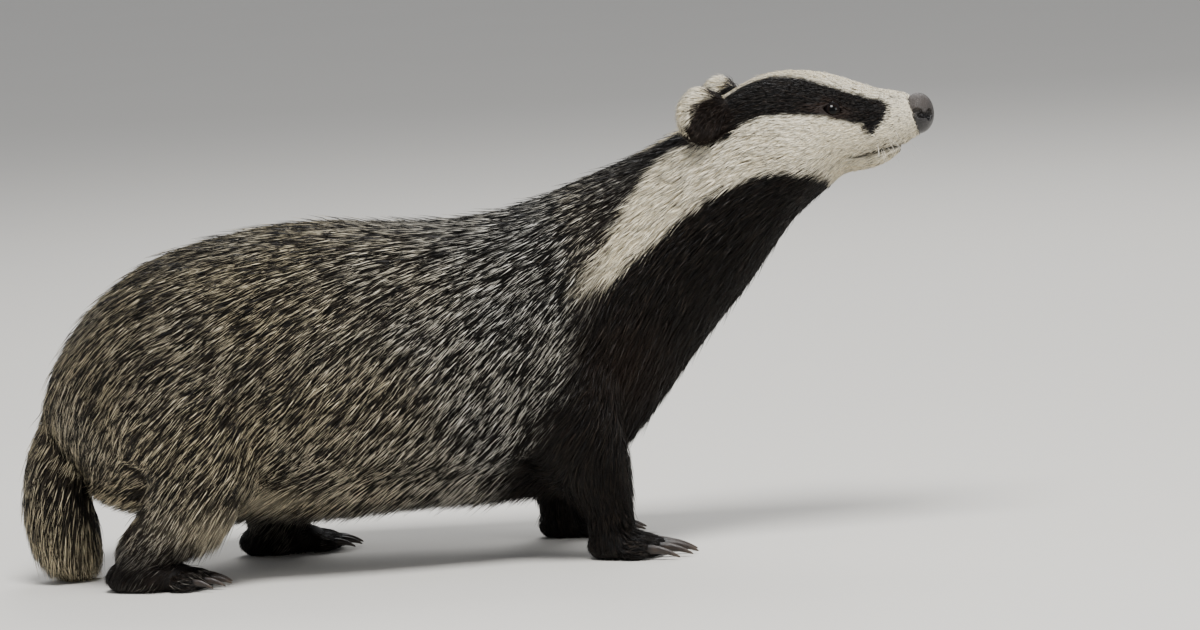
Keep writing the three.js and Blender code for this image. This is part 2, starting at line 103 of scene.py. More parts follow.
# Limbs: x, distance from the middle plane, z, half depth, half width
TAIL = [
    (-302, 0, 134, 16, 17),
    (-320, 0, 112, 21, 22),
    (-329, 0, 84, 24, 25),
    (-329, 0, 54, 26, 27),
    (-324, 0, 28, 24, 24),
    (-319, 0, 8, 14, 13),
    (-318, 0, 4, 8, 7),
]
LEGS = {
    ("forefoot", "right"): [
        (38, 52, 172, 38, 20),
        (48, 66, 138, 46, 28),
        (64, 72, 98, 38, 26),
        (80, 70, 66, 26, 22),
        (87, 66, 40, 18.5, 18),
        (89, 64, 22, 18, 18.5),
        (91, 63, 8, 17, 19),
    ],
    ("forefoot", "left"): [
        (20, 52, 168, 38, 20),
        (26, 66, 136, 44, 28),
        (36, 72, 98, 36, 26),
        (45, 70, 66, 25, 22),
        (50, 66, 40, 18.5, 18),
        (52, 64, 22, 18, 18.5),
        (54, 63, 8, 17, 19),
    ],
    ("hindfoot", "right"): [
        (-240, 60, 178, 50, 26),
        (-228, 76, 140, 56, 32),
        (-216, 84, 104, 48, 32),
        (-222, 82, 72, 35, 29),
        (-243, 76, 47, 25, 25),
        (-263, 72, 29, 20, 21),
        (-276, 71, 14, 17, 19),
    ],
    ("hindfoot", "left"): [
        (-210, 60, 178, 50, 26),
        (-184, 76, 140, 54, 32),
        (-160, 84, 104, 45, 32),
        (-151, 82, 73, 33, 29),
        (-157, 76, 48, 24, 25),
        (-170, 72, 29, 20, 21),
        (-182, 71, 14, 17, 19),
    ],
}

# Feet: heel, turn-out, sole rows as x, z, half height, half width, toes as x, y, splay, and claws
FOOT = {
    "forefoot": {
        "heel": {"right": (78, 63), "left": (41, 63)},
        "turn_out": 7,
        "sole": [(-8, 8, 3, 4.5), (-4, 8.5, 7.5, 10), (3, 9.5, 11.5, 15.5), (12, 10.5, 13, 19.5),
                 (22, 9.5, 12, 22), (34, 7, 9.5, 22)],
        "toe": {"length": 15, "width": 6.2, "height": 8.2, "z": 6.8},
        "toes": [(30, -19, -14), (37.5, -10.2, -6), (40, 0, 0), (38, 10.2, 6), (30.5, 19, 15)],
        "claw": {"length": 25, "height": 3.6, "width": 2.3, "drop": 0.9},
    },
    "hindfoot": {
        "heel": {"right": (-281, 71), "left": (-187, 71)},
        "turn_out": 10,
        "sole": [(-12, 8, 3, 4.5), (-7, 9, 8, 10), (1, 10, 12, 14), (14, 10.5, 13, 17),
                 (34, 10.5, 13, 19), (56, 7, 9.5, 20)],
        "toe": {"length": 13, "width": 5.6, "height": 7.4, "z": 6},
        "toes": [(51, -17, -12), (57.5, -9.2, -5), (60, 0, 0), (58, 9.2, 5), (52, 17, 13)],
        "claw": {"length": 15, "height": 2.9, "width": 2, "drop": 0.75},
    },
}
NAIL_AT = 0.72  # where along a toe its claw starts

# Grids on which feet, ears and nose are made one surface, in metres
FOOT_VOXEL, EAR_VOXEL, NOSE_VOXEL = 0.0021, 0.0013, 0.0006

# Head details, in the frame of the unturned head
EYE = {"at": (283.5, 31.6, 326), "radius": 7.6, "turn_out": 74, "tilt_up": 8, "sunk": 3.6}
LIDS = {"half_length": 7.2, "half_height": 3.7, "slant": 14, "rim": 1.0, "socket": 6}
NOSE = {"at": (343.5, 0, 318), "half": (11.5, 14.5, 15.5)}
NOSE_BACK = {"top": (337, 330), "bottom": (348.5, 303)}
NOSTRILS = [
    ((352.5, 7.2, 317.5), (7, 3.6, 4.4)),
    ((349, 11.5, 317.4), (5.5, 4.6, 2.3)),
    ((344.5, 14, 320.5), (4.5, 3, 2.5)),
]
MOUTH_LINE = [(296, 289), (308, 290.8), (320, 294), (331, 295), (343, 292)]
EAR = {"at": (190, 47, 328.5), "half": (22, 8.5, 21), "lean": -9, "flare": -24, "pitch": 12}
EAR_CUP = {"at": (3, 8, 0.5), "half": (15.5, 6, 15)}

# How far the skin lies under the tips of the coat
SKIN_DEPTH = {
    "body": 6, "head": 1.4, "tail": 4, "foreleg": 2.5, "hindleg": 3.5, "foot": 1, "ear": 0.8,
}
HEAD_FROM, HEAD_TO = 150, 225
FINE_FROM = 240  # the skin's faces are smaller in front of this x

# Edges of the markings in a side view, as x against z: the crown's lower edge, the cheek's upper
# edge and the throat's upper edge, and how far back the black chest reaches, as z against x
BROW = [(196, 338), (204, 342), (216, 348), (231, 349), (254, 346), (269, 340), (284, 334),
        (299, 329), (314, 324), (319, 321)]
CHEEK = [(94, 222), (106, 237), (122, 255), (135, 273), (147, 287), (168, 305), (187, 305),
         (202, 307), (214, 316), (226, 319), (245, 318), (263, 316), (282, 311), (297, 308),
         (303, 297), (308, 303), (316, 311), (319, 321), (321, 340)]
THROAT = [(84, 204), (100, 209), (116, 216), (132, 228), (148, 239), (164, 252), (180, 262),
          (203, 272), (227, 277), (249, 277), (272, 272), (284, 240)]
CHEST = [(46, 18), (78, 31), (114, 56), (166, 82), (209, 92), (240, 100)]
VIEW_SLOPE = 0.113  # how much lower a place shows in the side view for each millimetre towards it

# Coat by zone: length of a tuft, its width, rise of its tip over the skin, tufts per square mm
ZONES = {
    "muzzle": (3.4, 0.38, 0.9, 0.9),
    "face": (7.5, 0.46, 1.5, 0.62),
    "cheek": (13, 0.55, 2.2, 0.5),
    "neck": (25, 0.72, 5, 0.36),
    "body": (40, 0.74, 6.4, 0.32),
    "belly": (28, 0.9, 5, 0.16),
    "thigh": (34, 0.74, 6.5, 0.36),
    "leg": (17, 0.62, 3.4, 0.4),
    "foot": (9.5, 0.48, 1.8, 0.7),
    "tail": (48, 0.74, 6.5, 0.42),
    "ear": (15, 0.5, 2.6, 0.9),
}
ZONE_NAMES = list(ZONES)
ZONE_TABLE = np.array([ZONES[name] for name in ZONE_NAMES])
MIDDLE_AT = 0.6  # where along a tuft of the coat its middle ring is

# Lowest heights over the floor for the feet with their claws, and for the coat
FOOT_LOWEST, COAT_LOWEST = 0.3, 0.6

# How often each surface, and each join on the skin, is smoothed
SMOOTHING = {"skin": 6, "foot": 3, "ear": 4, "nose": 3, "ankles": 10, "ear_front": 12, "face": 3}

# Whiskers: how many, how wide, where on the muzzle they grow, and the start of the random numbers
WHISKERS = {"each_side": 11, "width": 0.26, "x": (312, 334), "z": (283, 312), "seed": 5}

# Second tones of some finishes
PUPIL, EYE_RIM = (0.001, 0.001, 0.001), (0.004, 0.003, 0.003)
DRY_NOSE, CLAW_RIDGE, CLAW_TIP = "#4b433d", "#32271f", "#4d4034"
WHISKER_ROOT, WHISKER_TIP, FLOOR_CLOUD = "#3a332e", "#e6e0d2", "#a8a49b"

# The stage, in metres and watts: each light's place, aim, size and power
LIGHTS = {
    "key": ((0.0, -1.3, 2.9), (0.0, 0, 0.15), 1.1, 150),
    "front": ((2.3, -1.4, 1.1), (0.15, 0, 0.2), 1.2, 26),
    "back": ((0.4, 2.2, 2.2), (0, 0, 0.2), 1.8, 50),
}
SKY = {"colour": (0.93, 0.95, 1.0, 1), "strength": 0.52}
FLOOR_SIZE = 24

# The camera: what it aims at, how far off it is, the width seen there, its sensor in millimetres
# and its angles in degrees
CAMERA = {
    "target": (0.0905, 0, 0.1769), "distance": 5.0, "seen": 0.912, "sensor": 36,
    "elevation": 6.5, "roll": 3.8,
}


class ShapeSettings(bpy.types.PropertyGroup):
    """Sizes of the skin and of what is set in it."""

    voxel: FloatProperty(
        name="Skin voxel", description="Grid on which the flesh is joined into one skin",
        default=0.003, min=0.001, unit="LENGTH",
    )
    eye_radius: FloatProperty(
        name="Eye radius", description="Radius of each eyeball", default=EYE["radius"] * MM,
        unit="LENGTH",
    )
    whisker_length: FloatProperty(
        name="Whisker length", description="Length of the longest whiskers", default=0.03,
        unit="LENGTH",
    )


class CoatSettings(bpy.types.PropertyGroup):
    """How long and how thick the coat grows."""

    length: FloatProperty(
        name="Length", description="Share of the usual length of the tufts", default=1.0,
        subtype="FACTOR",
    )
    fullness: FloatProperty(
        name="Fullness", description="Share of the usual number of tufts", default=1.0,
        subtype="FACTOR",
    )
    seed: IntProperty(name="Seed", description="Start of the random numbers", default=7)


def linear(code):
    """Scene-linear colour of a hex code."""
    parts = [int(code[i:i + 2], 16) / 255 for i in (1, 3, 5)]
    return tuple(c / 12.92 if c <= 0.04045 else ((c + 0.055) / 1.055) ** 2.4 for c in parts)


def colour(name, description, code):
    """A colour that a user may change."""
    return FloatVectorProperty(
        name=name, description=description, default=linear(code), size=3, subtype="COLOR",
        min=0, max=1,
    )


class ColourSettings(bpy.types.PropertyGroup):
    """Colours of the coat, skin, horn and floor."""

    white: colour("White", "Stripes of the head and neck", "#f4eedd")
    silver: colour("Silver", "Hair tips on the shoulders", "#f6f3ea")
    buff: colour("Buff", "Hair tips on flanks and rump", "#f0e1bc")
    # Dark is also the tone of the painted shade on the skin under the coat
    dark: colour("Dark", "Middle of the grizzled hairs", "#070605")
    # Wool is also the tone of the painted sheen on black hair
    wool: colour("Wool", "Grey-brown undercoat of the grizzled hairs", "#75695a")
    black: colour("Black", "Eye bands, throat and legs", "#070606")
    brown: colour("Brown", "Thin hair round eyes, ears and breast", "#30221a")
    nose: colour("Nose", "Leather of the nose pad", "#1b1919")
    iris: colour("Iris", "Ring round the pupil", "#0e0704")
    horn: colour("Horn", "Claws", "#1d1612")
    floor: colour("Floor", "Studio floor", "#cfccc5")


# Curves and surfaces in millimetres


def through(rows, share):
    """Points at shares of a smooth curve through rows."""
    rows = np.asarray(rows, float)
    padded = np.vstack([2 * rows[0] - rows[1], rows, 2 * rows[-1] - rows[-2]])
    place = np.clip(share, 0, 1) * (len(rows) - 1)
    index = np.minimum(place.astype(int), len(rows) - 2)
    t = (place - index)[:, None]
    p0, p1, p2, p3 = (padded[index + k] for k in range(4))
    d0, d1, d2 = (
        np.sqrt(np.linalg.norm(b - a, axis=1))[:, None] for a, b in ((p0, p1), (p1, p2), (p2, p3))
    )
    leave = ((p1 - p0) / d0 - (p2 - p0) / (d0 + d1) + (p2 - p1) / d1) * d1
    reach = ((p2 - p1) / d1 - (p3 - p1) / (d1 + d2) + (p3 - p2) / d2) * d1
    bend = -3 * p1 + 3 * p2 - 2 * leave - reach
    twist = 2 * p1 - 2 * p2 + leave + reach
    return p1 + leave * t + bend * t**2 + twist * t**3


def unit(vectors):
    """The same directions, one long."""
    return vectors / np.maximum(np.linalg.norm(vectors, axis=-1, keepdims=True), 1e-9)


def smooth_step(low, high, value):
    """0 below low, 1 above high and smooth between them."""
    t = np.clip((value - low) / (high - low), 0, 1)
    return t * t * (3 - 2 * t)


def turned(points):
    """Points of the straight body, moved along the arc on which the neck turns."""
    x, y, z = points.T
    along = np.clip(x - TURN["start"], 0, TURN["end"] - TURN["start"])
    past = x - TURN["start"] - along
    angle = along / TURN_RADIUS
    out = TURN_RADIUS + y
    new_x = TURN["start"] + out * np.sin(angle) + past * np.cos(angle)
    new_y = out * np.cos(angle) - TURN_RADIUS - past * np.sin(angle)
    return np.stack([new_x, new_y, z], 1)


def straightened(points):
    """Points of the turned body, moved back to the straight one."""
    x, y, z = points.T
    ahead, across = x - TURN["start"], y + TURN_RADIUS
    angle = np.clip(np.arctan2(ahead, across), 0, TURN_ANGLE)
    out = ahead * np.sin(angle) + across * np.cos(angle)
    past = ahead * np.cos(angle) - across * np.sin(angle)
    return np.stack([TURN["start"] + angle * TURN_RADIUS + past, out - TURN_RADIUS, z], 1)


def open_pole(along):
    """0 at the two ends of a loft and 1 between them."""
    return ((along > 1e-4) & (along < 1 - 1e-4)).astype(float)


def flank(rows, depth):
    """Surface through pairs of points on back and underside, sunk by depth(x)."""
    rows = np.asarray(rows, float)
    level = np.zeros(len(rows))

    def place(along, around):
        tops = through(np.stack([rows[:, 0], level, rows[:, 1]], 1), along)
        bottoms = through(np.stack([rows[:, 2], level, rows[:, 3]], 1), along)
        widths = through(np.stack([rows[:, 4], rows[:, 5], level], 1), along)
        half = (tops - bottoms) / 2
        middle = (tops + bottoms) / 2
        up = np.sin(around) + widths[:, 1] * np.cos(around) ** 2
        sink = depth(middle[:, 0] + half[:, 0] * up)
        stretch = open_pole(along) * up * (1 - sink / np.linalg.norm(half, axis=1))
        middle += half * stretch[:, None]
        middle[:, 1] += open_pole(along) * np.cos(around) * (widths[:, 0] - sink)
        return turned(middle)

    return place


def limb(rows, depth):
    """Surface round a centre line with its half depths and half widths, sunk by depth."""
    rows = np.asarray(rows, float)

    def place(along, around):
        at, ahead, size = spine(rows, along)
        side = unit(np.array([0, 1, 0]) - ahead * ahead[:, 1:2])
        deep = np.cross(ahead, side)
        across = open_pole(along) * np.cos(around) * (size[:, 1] - depth)
        below = open_pole(along) * np.sin(around) * (size[:, 0] - depth)
        return at + side * across[:, None] + deep * below[:, None]

    return place


def spine(rows, along):
    """Points, directions and sizes along the centre line of a limb."""
    rows = np.asarray(rows, float)
    step = 1e-4
    ahead = unit(through(rows[:, :3], along + step) - through(rows[:, :3], along - step))
    sizes = through(np.pad(rows[:, 3:5], ((0, 0), (0, 1))), along)
    return through(rows[:, :3], along), ahead, sizes


def mirrored(rows, side):
    """A limb's rows on the side where it stands."""
    return [(row[0], side * row[1], *row[2:]) for row in rows]


def skin_depth(x):
    """How far the skin lies under the tips of the coat along the body."""
    share = smooth_step(HEAD_FROM, HEAD_TO, x)
    return SKIN_DEPTH["body"] + (SKIN_DEPTH["head"] - SKIN_DEPTH["body"]) * share


# Blender objects


def only(piece):
    """Selects one piece and nothing else."""
    bpy.ops.object.select_all(action="DESELECT")
    piece.select_set(True)
    bpy.context.view_layer.objects.active = piece


def points_of(piece):
    """The piece's vertices in millimetres."""
    at = np.empty(len(piece.data.vertices) * 3)
    piece.data.vertices.foreach_get("co", at)
    return at.reshape(-1, 3) / MM


def set_points(piece, points):
    """Moves the piece's vertices to points in millimetres."""
    piece.data.vertices.foreach_set("co", (points * MM).ravel())
    piece.data.update()


def normals_of(piece):
    """Normals of the piece's vertices."""
    out = np.empty(len(piece.data.vertices) * 3)
    piece.data.vertex_normals.foreach_get("vector", out)
    return out.reshape(-1, 3)


def face_outwards(piece):
    """Turns all faces of a closed piece outwards."""
    only(piece)
    bpy.ops.object.mode_set(mode="EDIT")
    bpy.ops.mesh.select_all(action="SELECT")
    bpy.ops.mesh.normals_make_consistent(inside=False)
    bpy.ops.object.mode_set(mode="OBJECT")


def ball(name, sides, rings, place):
    """A ball whose vertices are moved by place(along, around), from pole to pole."""
    bpy.ops.object.select_all(action="DESELECT")
    bpy.ops.mesh.primitive_uv_sphere_add(segments=sides, ring_count=rings, radius=MM)
    piece = bpy.context.object
    piece.name = name
    at = points_of(piece)
    along = np.arccos(np.clip(at[:, 2], -1, 1)) / math.pi
    set_points(piece, place(along, np.arctan2(at[:, 1], at[:, 0])))
    face_outwards(piece)
    return piece


def oval(name, at, half, sides=24, rings=16):
    """An oval of three half sizes about a centre."""

    def place(along, around):
        ring = np.sin(np.pi * along)
        x, y, z = ring * np.cos(around), ring * np.sin(around), np.cos(np.pi * along)
        return np.stack([x, y, z], 1) * half + at

    return ball(name, sides, rings, place)


def on_head(piece):
    """Turns a piece that was made on the straight head."""
    set_points(piece, turned(points_of(piece)))


def modified(piece, kind, **settings):
    """Adds a modifier to the piece and applies it."""
    only(piece)
    bpy.ops.object.modifier_add(type=kind)
    modifier = piece.modifiers[-1]
    for key, value in settings.items():
        setattr(modifier, key, value)
    bpy.ops.object.modifier_apply(modifier=modifier.name)
    return piece


def combined(piece, other, operation):
    """Joins another piece to this one or cuts it out, and removes it."""
    modified(piece, "BOOLEAN", operation=operation, object=other, solver="MANIFOLD")
    bpy.data.objects.remove(other)


def joined(parts):
    """Several parts as one piece."""
    only(parts[0])
    for part in parts[1:]:
        part.select_set(True)
    bpy.ops.object.join()
    return bpy.context.object


def grown_together(parts, voxel, smoothing):
    """One smooth closed surface over parts that cross each other."""
    piece = modified(joined(parts), "REMESH", mode="VOXEL", voxel_size=voxel)
    return modified(piece, "SMOOTH", factor=0.5, iterations=smoothing)


def finished(piece, name, material, slot, nodes=()):
    """Names a finished piece, gives it its material and fixes it to the frame."""
    piece.name = name
    piece.data.name = name
    piece.data.materials.clear()
    piece.data.materials.append(material)
    only(piece)
    bpy.ops.object.shade_smooth()
    if not piece.data.polygons:
        raise RuntimeError(f"{name} came out empty")
    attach(piece, "root")
    if nodes:
        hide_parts(*nodes)


def keep_values(piece, name, values):
    """Stores three numbers for each vertex of a piece."""
    layer = piece.data.attributes.new(name, "FLOAT_VECTOR", "POINT")
    layer.data.foreach_set("vector", np.ascontiguousarray(values, dtype=np.float32).ravel())


# Materials


class Wire:
    """A shader socket on which sums can be written."""

    def __init__(self, graph, socket):
        self.graph = graph
        self.socket = socket

    def _sum(self, operation, first, second):
        node = self.graph.node("ShaderNodeMath", {"operation": operation}, {0: first, 1: second})
        return Wire(self.graph, node.outputs[0])

    def __add__(self, other):
        return self._sum("ADD", self, other)

    def __radd__(self, other):
        return self._sum("ADD", other, self)

    def __sub__(self, other):
        return self._sum("SUBTRACT", self, other)

    def __rsub__(self, other):
        return self._sum("SUBTRACT", other, self)

    def __mul__(self, other):
        return self._sum("MULTIPLY", self, other)

    def __rmul__(self, other):
        return self._sum("MULTIPLY", other, self)

    def clamped(self):
        """The same value kept between 0 and 1."""
        node = self.graph.node("ShaderNodeClamp", {}, {"Value": self})
        return Wire(self.graph, node.outputs[0])

    def above(self, low, high):
        """0 below low, 1 above high and smooth between them."""
        settings = {"interpolation_type": "SMOOTHSTEP"}
        node = self.graph.node(
            "ShaderNodeMapRange", settings, {"Value": self, "From Min": low, "From Max": high}
        )
        return Wire(self.graph, node.outputs[0])


class Graph:
    """The nodes of one material."""

    def __init__(self, name):
        self.material = bpy.data.materials.new(name)
        self.material.use_nodes = True
        self.tree = self.material.node_tree
        self.shader = self.tree.nodes["Principled BSDF"]

    def node(self, kind, settings=None, inputs=None):
        """A node with its settings made first, then its sockets filled or linked."""
        node = self.tree.nodes.new(kind)
        for key, value in (settings or {}).items():
            setattr(node, key, value)
        for key, value in (inputs or {}).items():
            self.feed(node.inputs[key], value)
        return node

    def feed(self, socket, value):
        """Links a wire to a socket, or sets the socket."""
        if isinstance(value, Wire):
            self.tree.links.new(value.socket, socket)
        else:
            socket.default_value = value

    def finish(self, **sockets):
        """Fills the shader's sockets, named with _ for a space."""
        for key, value in sockets.items():
            self.feed(self.shader.inputs[key.replace("_", " ")], value)
        return self.material

    def stored(self, name):
        """The three numbers that a piece stores under a name."""
        node = self.node("ShaderNodeAttribute", {"attribute_name": name})
        parts = self.node("ShaderNodeSeparateXYZ", {}, {0: Wire(self, node.outputs["Vector"])})
        return [Wire(self, out) for out in parts.outputs]

    def mix(self, share, first, second):
        """Two colours mixed by a share of the second."""
        first, second = (c if isinstance(c, Wire) else (*c, 1) for c in (first, second))
        node = self.node("ShaderNodeMix", {"data_type": "RGBA"}, {0: share, 6: first, 7: second})
        return Wire(self, node.outputs[2])

    def place(self):
        """Object coordinates."""
        return Wire(self, self.node("ShaderNodeTexCoord").outputs["Object"])

    def noise(self, scale, detail=2.0, vector=None):
        """Noise between 0 and 1 over the piece."""
        inputs = {"Vector": vector or self.place(), "Scale": scale, "Detail": detail}
        return Wire(self, self.node("ShaderNodeTexNoise", {}, inputs).outputs["Fac"])

    def stretched(self, scale):
        """Object coordinates, closer or wider along each axis."""
        inputs = {"Vector": self.place(), "Scale": scale}
        return Wire(self, self.node("ShaderNodeMapping", {}, inputs).outputs[0])

    def bump(self, height, distance, strength=1.0):
        """A normal raised by a height."""
        inputs = {"Height": height, "Distance": distance, "Strength": strength}
        return Wire(self, self.node("ShaderNodeBump", {}, inputs).outputs[0])


def hair_colour(graph, along, chance, shade):
    """Colour of a hair from its root to its tip by the markings stored with it, with painted sheen
    on black hair.
    """
    colours = bpy.context.scene.badger_colours
    white, black, warm = graph.stored("marks")
    pale = graph.mix(warm, colours.silver, colours.buff)
    shift = along + (shade - 0.5) * 0.2
    tip = shift.above(0.64, 0.76) * chance.above(0.57, 0.67)
    wool = (1 - shift.above(0.2, 0.5)) * 0.5 + 0.26 * warm * shade.above(0.25, 1.0)
    grizzled = graph.mix(tip, graph.mix(wool.clamped(), colours.dark, colours.wool), pale)
    cream = 0.35 * (1 - along.above(0.1, 0.9)) + 0.35 * shade + 0.6 * warm
    deep_white = graph.mix(cream.clamped(), colours.white, colours.buff)
    rusty = (shade.above(0.6, 1.0) * 0.3 + warm * 0.8).clamped()
    # painted sheen: random black tufts lightened toward the wool tone along their outer part,
    # standing in for highlights
    painted_sheen = 0.13 * chance.above(0.6, 0.9) * shift.above(0.3, 0.8)
    dusky = graph.mix(painted_sheen, graph.mix(rusty, colours.black, colours.brown), colours.wool)
    return graph.mix(black, graph.mix(white, grizzled, deep_white), dusky)


def coat_material():
    """Hair in tufts, grizzled, white or black by the stored markings."""
    graph = Graph("badger_coat")
    along, chance, shade = graph.stored("hair")
    return graph.finish(
        Base_Color=hair_colour(graph, along, chance, shade),
        Roughness=0.4 + 0.2 * chance,
        Specular_IOR_Level=0.2,
    )


def skin_material():
    """Short hair and skin under the tufts, with the same markings, darkened as painted shade of the
    coat over them.
    """
    graph = Graph("badger_skin")
    streaks = graph.noise(900, 3, graph.stretched((0.3, 1, 1)))
    patches = graph.noise(180)
    colour_here = hair_colour(graph, 0.35 + 0.4 * streaks, streaks, patches)
    # painted shade: the marked colour is taken 35 percent toward dark, for the shade inside the
    # coat
    return graph.finish(
        Base_Color=graph.mix(0.35, colour_here, bpy.context.scene.badger_colours.dark),
        Roughness=0.7 + 0.1 * patches,
        Specular_IOR_Level=0.25,
        Normal=graph.bump(streaks, 0.0006, 0.6),
    )


def eye_material():
    """A dark glossy eye: pupil, brown iris and darker rim, by the angle from its axis."""
    graph = Graph("badger_eye")
    colours = bpy.context.scene.badger_colours
    angle, _, _ = graph.stored("gaze")
    fibres = graph.noise(2500, 2)
    iris = graph.mix(fibres.above(0.35, 0.7) * 0.2, colours.iris, colours.brown)
    ringed = graph.mix(angle.above(0.5, 0.62), iris, EYE_RIM)
    base = graph.mix(1 - angle.above(0.36, 0.42), ringed, PUPIL)
    return graph.finish(Base_Color=base, Roughness=0.04 + 0.03 * fibres, Specular_IOR_Level=0.16)


def nose_material():
    """Pebbled leather, drier and browner on top, wet and black below."""
    graph = Graph("badger_nose")
    colours = bpy.context.scene.badger_colours
    cells = graph.node(
        "ShaderNodeTexVoronoi", {"feature": "DISTANCE_TO_EDGE"},
        {"Vector": graph.place(), "Scale": 720.0},
    )
    pebbles = Wire(graph, cells.outputs["Distance"]).above(0.0, 0.25)
    parts = graph.node("ShaderNodeSeparateXYZ", {}, {0: graph.place()})
    dry = (Wire(graph, parts.outputs[2]) + 0.004 * graph.noise(160)).above(0.315, 0.33)
    brown = graph.mix(dry * (0.35 + 0.4 * pebbles), colours.nose, linear(DRY_NOSE))
    return graph.finish(
        Base_Color=brown,
        Roughness=0.16 + 0.34 * dry + 0.1 * graph.noise(400),
        Normal=graph.bump(pebbles, 0.00035, 0.8),
    )


def claw_material():
    """Horn with fine ridges along the claw, paler at the tip."""
    graph = Graph("badger_claws")
    colours = bpy.context.scene.badger_colours
    along, across, _ = graph.stored("claw")
    spread = graph.node("ShaderNodeCombineXYZ", {}, {0: along * 3, 1: across * 9})
    ridges = graph.noise(1.0, 2, Wire(graph, spread.outputs[0]))
    tone = graph.mix(ridges.above(0.3, 0.7), colours.horn, linear(CLAW_RIDGE))
    base = graph.mix(along.above(0.75, 1.0) * 0.5, tone, linear(CLAW_TIP))
    root = graph.mix(1 - along.above(0.0, 0.3), base, colours.black)
    return graph.finish(Base_Color=root, Roughness=0.38 + 0.15 * ridges,
                        Normal=graph.bump(ridges, 0.0003, 0.6))


def whisker_material():
    """Stiff pale hairs, darker at the root."""
    graph = Graph("badger_whiskers")
    along, _, _ = graph.stored("hair")
    tone = graph.mix(along.above(0.0, 0.3), linear(WHISKER_ROOT), linear(WHISKER_TIP))
    return graph.finish(Base_Color=tone, Roughness=0.35 + 0.1 * along)


def floor_material():
    """A matt pale floor with a faint unevenness."""
    graph = Graph("studio_floor")
    colours = bpy.context.scene.badger_colours
    clouds = graph.noise(3, 4)
    tone = graph.mix(0.06 * clouds, colours.floor, linear(FLOOR_CLOUD))
    return graph.finish(Base_Color=tone, Roughness=0.75 + 0.1 * clouds)


# The flesh


def foot_shape(foot, side_name):
    """A function that moves points of a foot from its own frame to its place."""
    side = SIDES[side_name]
    x, y = foot["heel"][side_name]
    return lambda points: turned_about(points, side * foot["turn_out"], x, side * y)


def turned_about(points, degrees, x, y):
    """Points turned about the vertical and moved."""
    turn = math.radians(degrees)
    new_x = points[:, 0] * math.cos(turn) - points[:, 1] * math.sin(turn) + x
    new_y = points[:, 0] * math.sin(turn) + points[:, 1] * math.cos(turn) + y
    return np.stack([new_x, new_y, points[:, 2]], 1)


def make_foot(name, side_name):
    """A foot with five toes as one closed surface, flat on the floor."""
    foot = FOOT[name]
    depth = SKIN_DEPTH["foot"]
    sole = [(x, 0, z, high, wide) for x, z, high, wide in foot["sole"]]
    parts = [ball("sole", 32, 24, limb(sole, depth))]
    toe = foot["toe"]
    for x, y, splay in foot["toes"]:
        half = (toe["length"] - 2, toe["width"] - depth * 0.6, toe["height"] - depth)
        part = oval("toe", (0, 0, toe["z"]), half)
        set_points(part, turned_about(points_of(part), splay, x, y))
        parts.append(part)
    made = grown_together(parts, FOOT_VOXEL, SMOOTHING["foot"])
    at = foot_shape(foot, side_name)(points_of(made))
    at[:, 2] = np.maximum(at[:, 2], FOOT_LOWEST)
    set_points(made, at)
    return made


def ear_matrix():
    """Turn of the left ear against the head."""
    lean, flare, pitch = (math.radians(EAR[key]) for key in ("lean", "flare", "pitch"))
    turn = Matrix.Rotation(lean, 3, "X") @ Matrix.Rotation(-pitch, 3, "Y")
    return np.array(turn @ Matrix.Rotation(flare, 3, "Z"))


def in_ear(points, side):
    """Points of the straight head in the frame of one ear."""
    return ((points - EAR["at"] * np.array([1, side, 1])) * [1, side, 1]) @ ear_matrix()


def by_ear(points, side):
    """Whether points lie where the front edge of an ear meets the head."""
    local = in_ear(straightened(points), side) / EAR["half"]
    near = np.linalg.norm(local, axis=1) < 2.2
    return near & (local[:, 0] > 0.25) & (np.abs(local[:, 2]) < 1.25)


def make_ear(side):
    """A cupped ear as one closed surface."""
    half = np.array(EAR["half"]) - SKIN_DEPTH["ear"]
    shell = oval("ear", (0, 0, 0), half, 40, 28)
    combined(shell, oval("cup", EAR_CUP["at"], EAR_CUP["half"], 32, 24), "DIFFERENCE")
    made = grown_together([shell], EAR_VOXEL, SMOOTHING["ear"])
    local = points_of(made)
    front = smooth_step(-4, 21, local[:, 0])
    local[:, 1] -= 10 * front
    local[:, 2] *= 1 - 0.38 * front
    at = local @ ear_matrix().T * [1, side, 1] + EAR["at"] * np.array([1, side, 1])
    set_points(made, turned(at))
    face_outwards(made)
    return made


def select_faces(piece, wanted):
    """Opens a piece for editing with the faces selected whose centres are wanted."""
    only(piece)
    bpy.ops.object.mode_set(mode="EDIT")
    bpy.ops.mesh.select_mode(type="FACE")
    bpy.ops.mesh.select_all(action="DESELECT")
    edit = bmesh.from_edit_mesh(piece.data)
    centres = np.array([face.calc_center_median() for face in edit.faces]) / MM
    for face, chosen in zip(edit.faces, wanted(centres)):
        face.select_set(bool(chosen))
    bmesh.update_edit_mesh(piece.data)


def smoothed(piece, wanted, repeat, cuts=0):
    """Smooths a part of a surface, after cutting its faces smaller if wished."""
    select_faces(piece, wanted)
    if cuts:
        bpy.ops.mesh.subdivide(number_cuts=cuts)
    bpy.ops.mesh.vertices_smooth(factor=0.5, repeat=repeat)
    bpy.ops.object.mode_set(mode="OBJECT")


def eye_frame(side):
    """Centre of an eye on the straight head and its directions forward, up and out."""
    turn, tilt = math.radians(EYE["turn_out"]), math.radians(EYE["tilt_up"])
    out = Vector((math.cos(turn), side * math.sin(turn), math.sin(tilt))).normalized()
    up = (Vector((0, 0, 1)) - out * out.z).normalized()
    ahead = up.cross(out) * side
    slant = math.radians(LIDS["slant"])
    forward = ahead * math.cos(slant) + up * math.sin(slant)
    upward = up * math.cos(slant) - ahead * math.sin(slant)
    centre = np.array(EYE["at"]) * [1, side, 1]
    return centre, np.array(forward), np.array(upward), np.array(out)


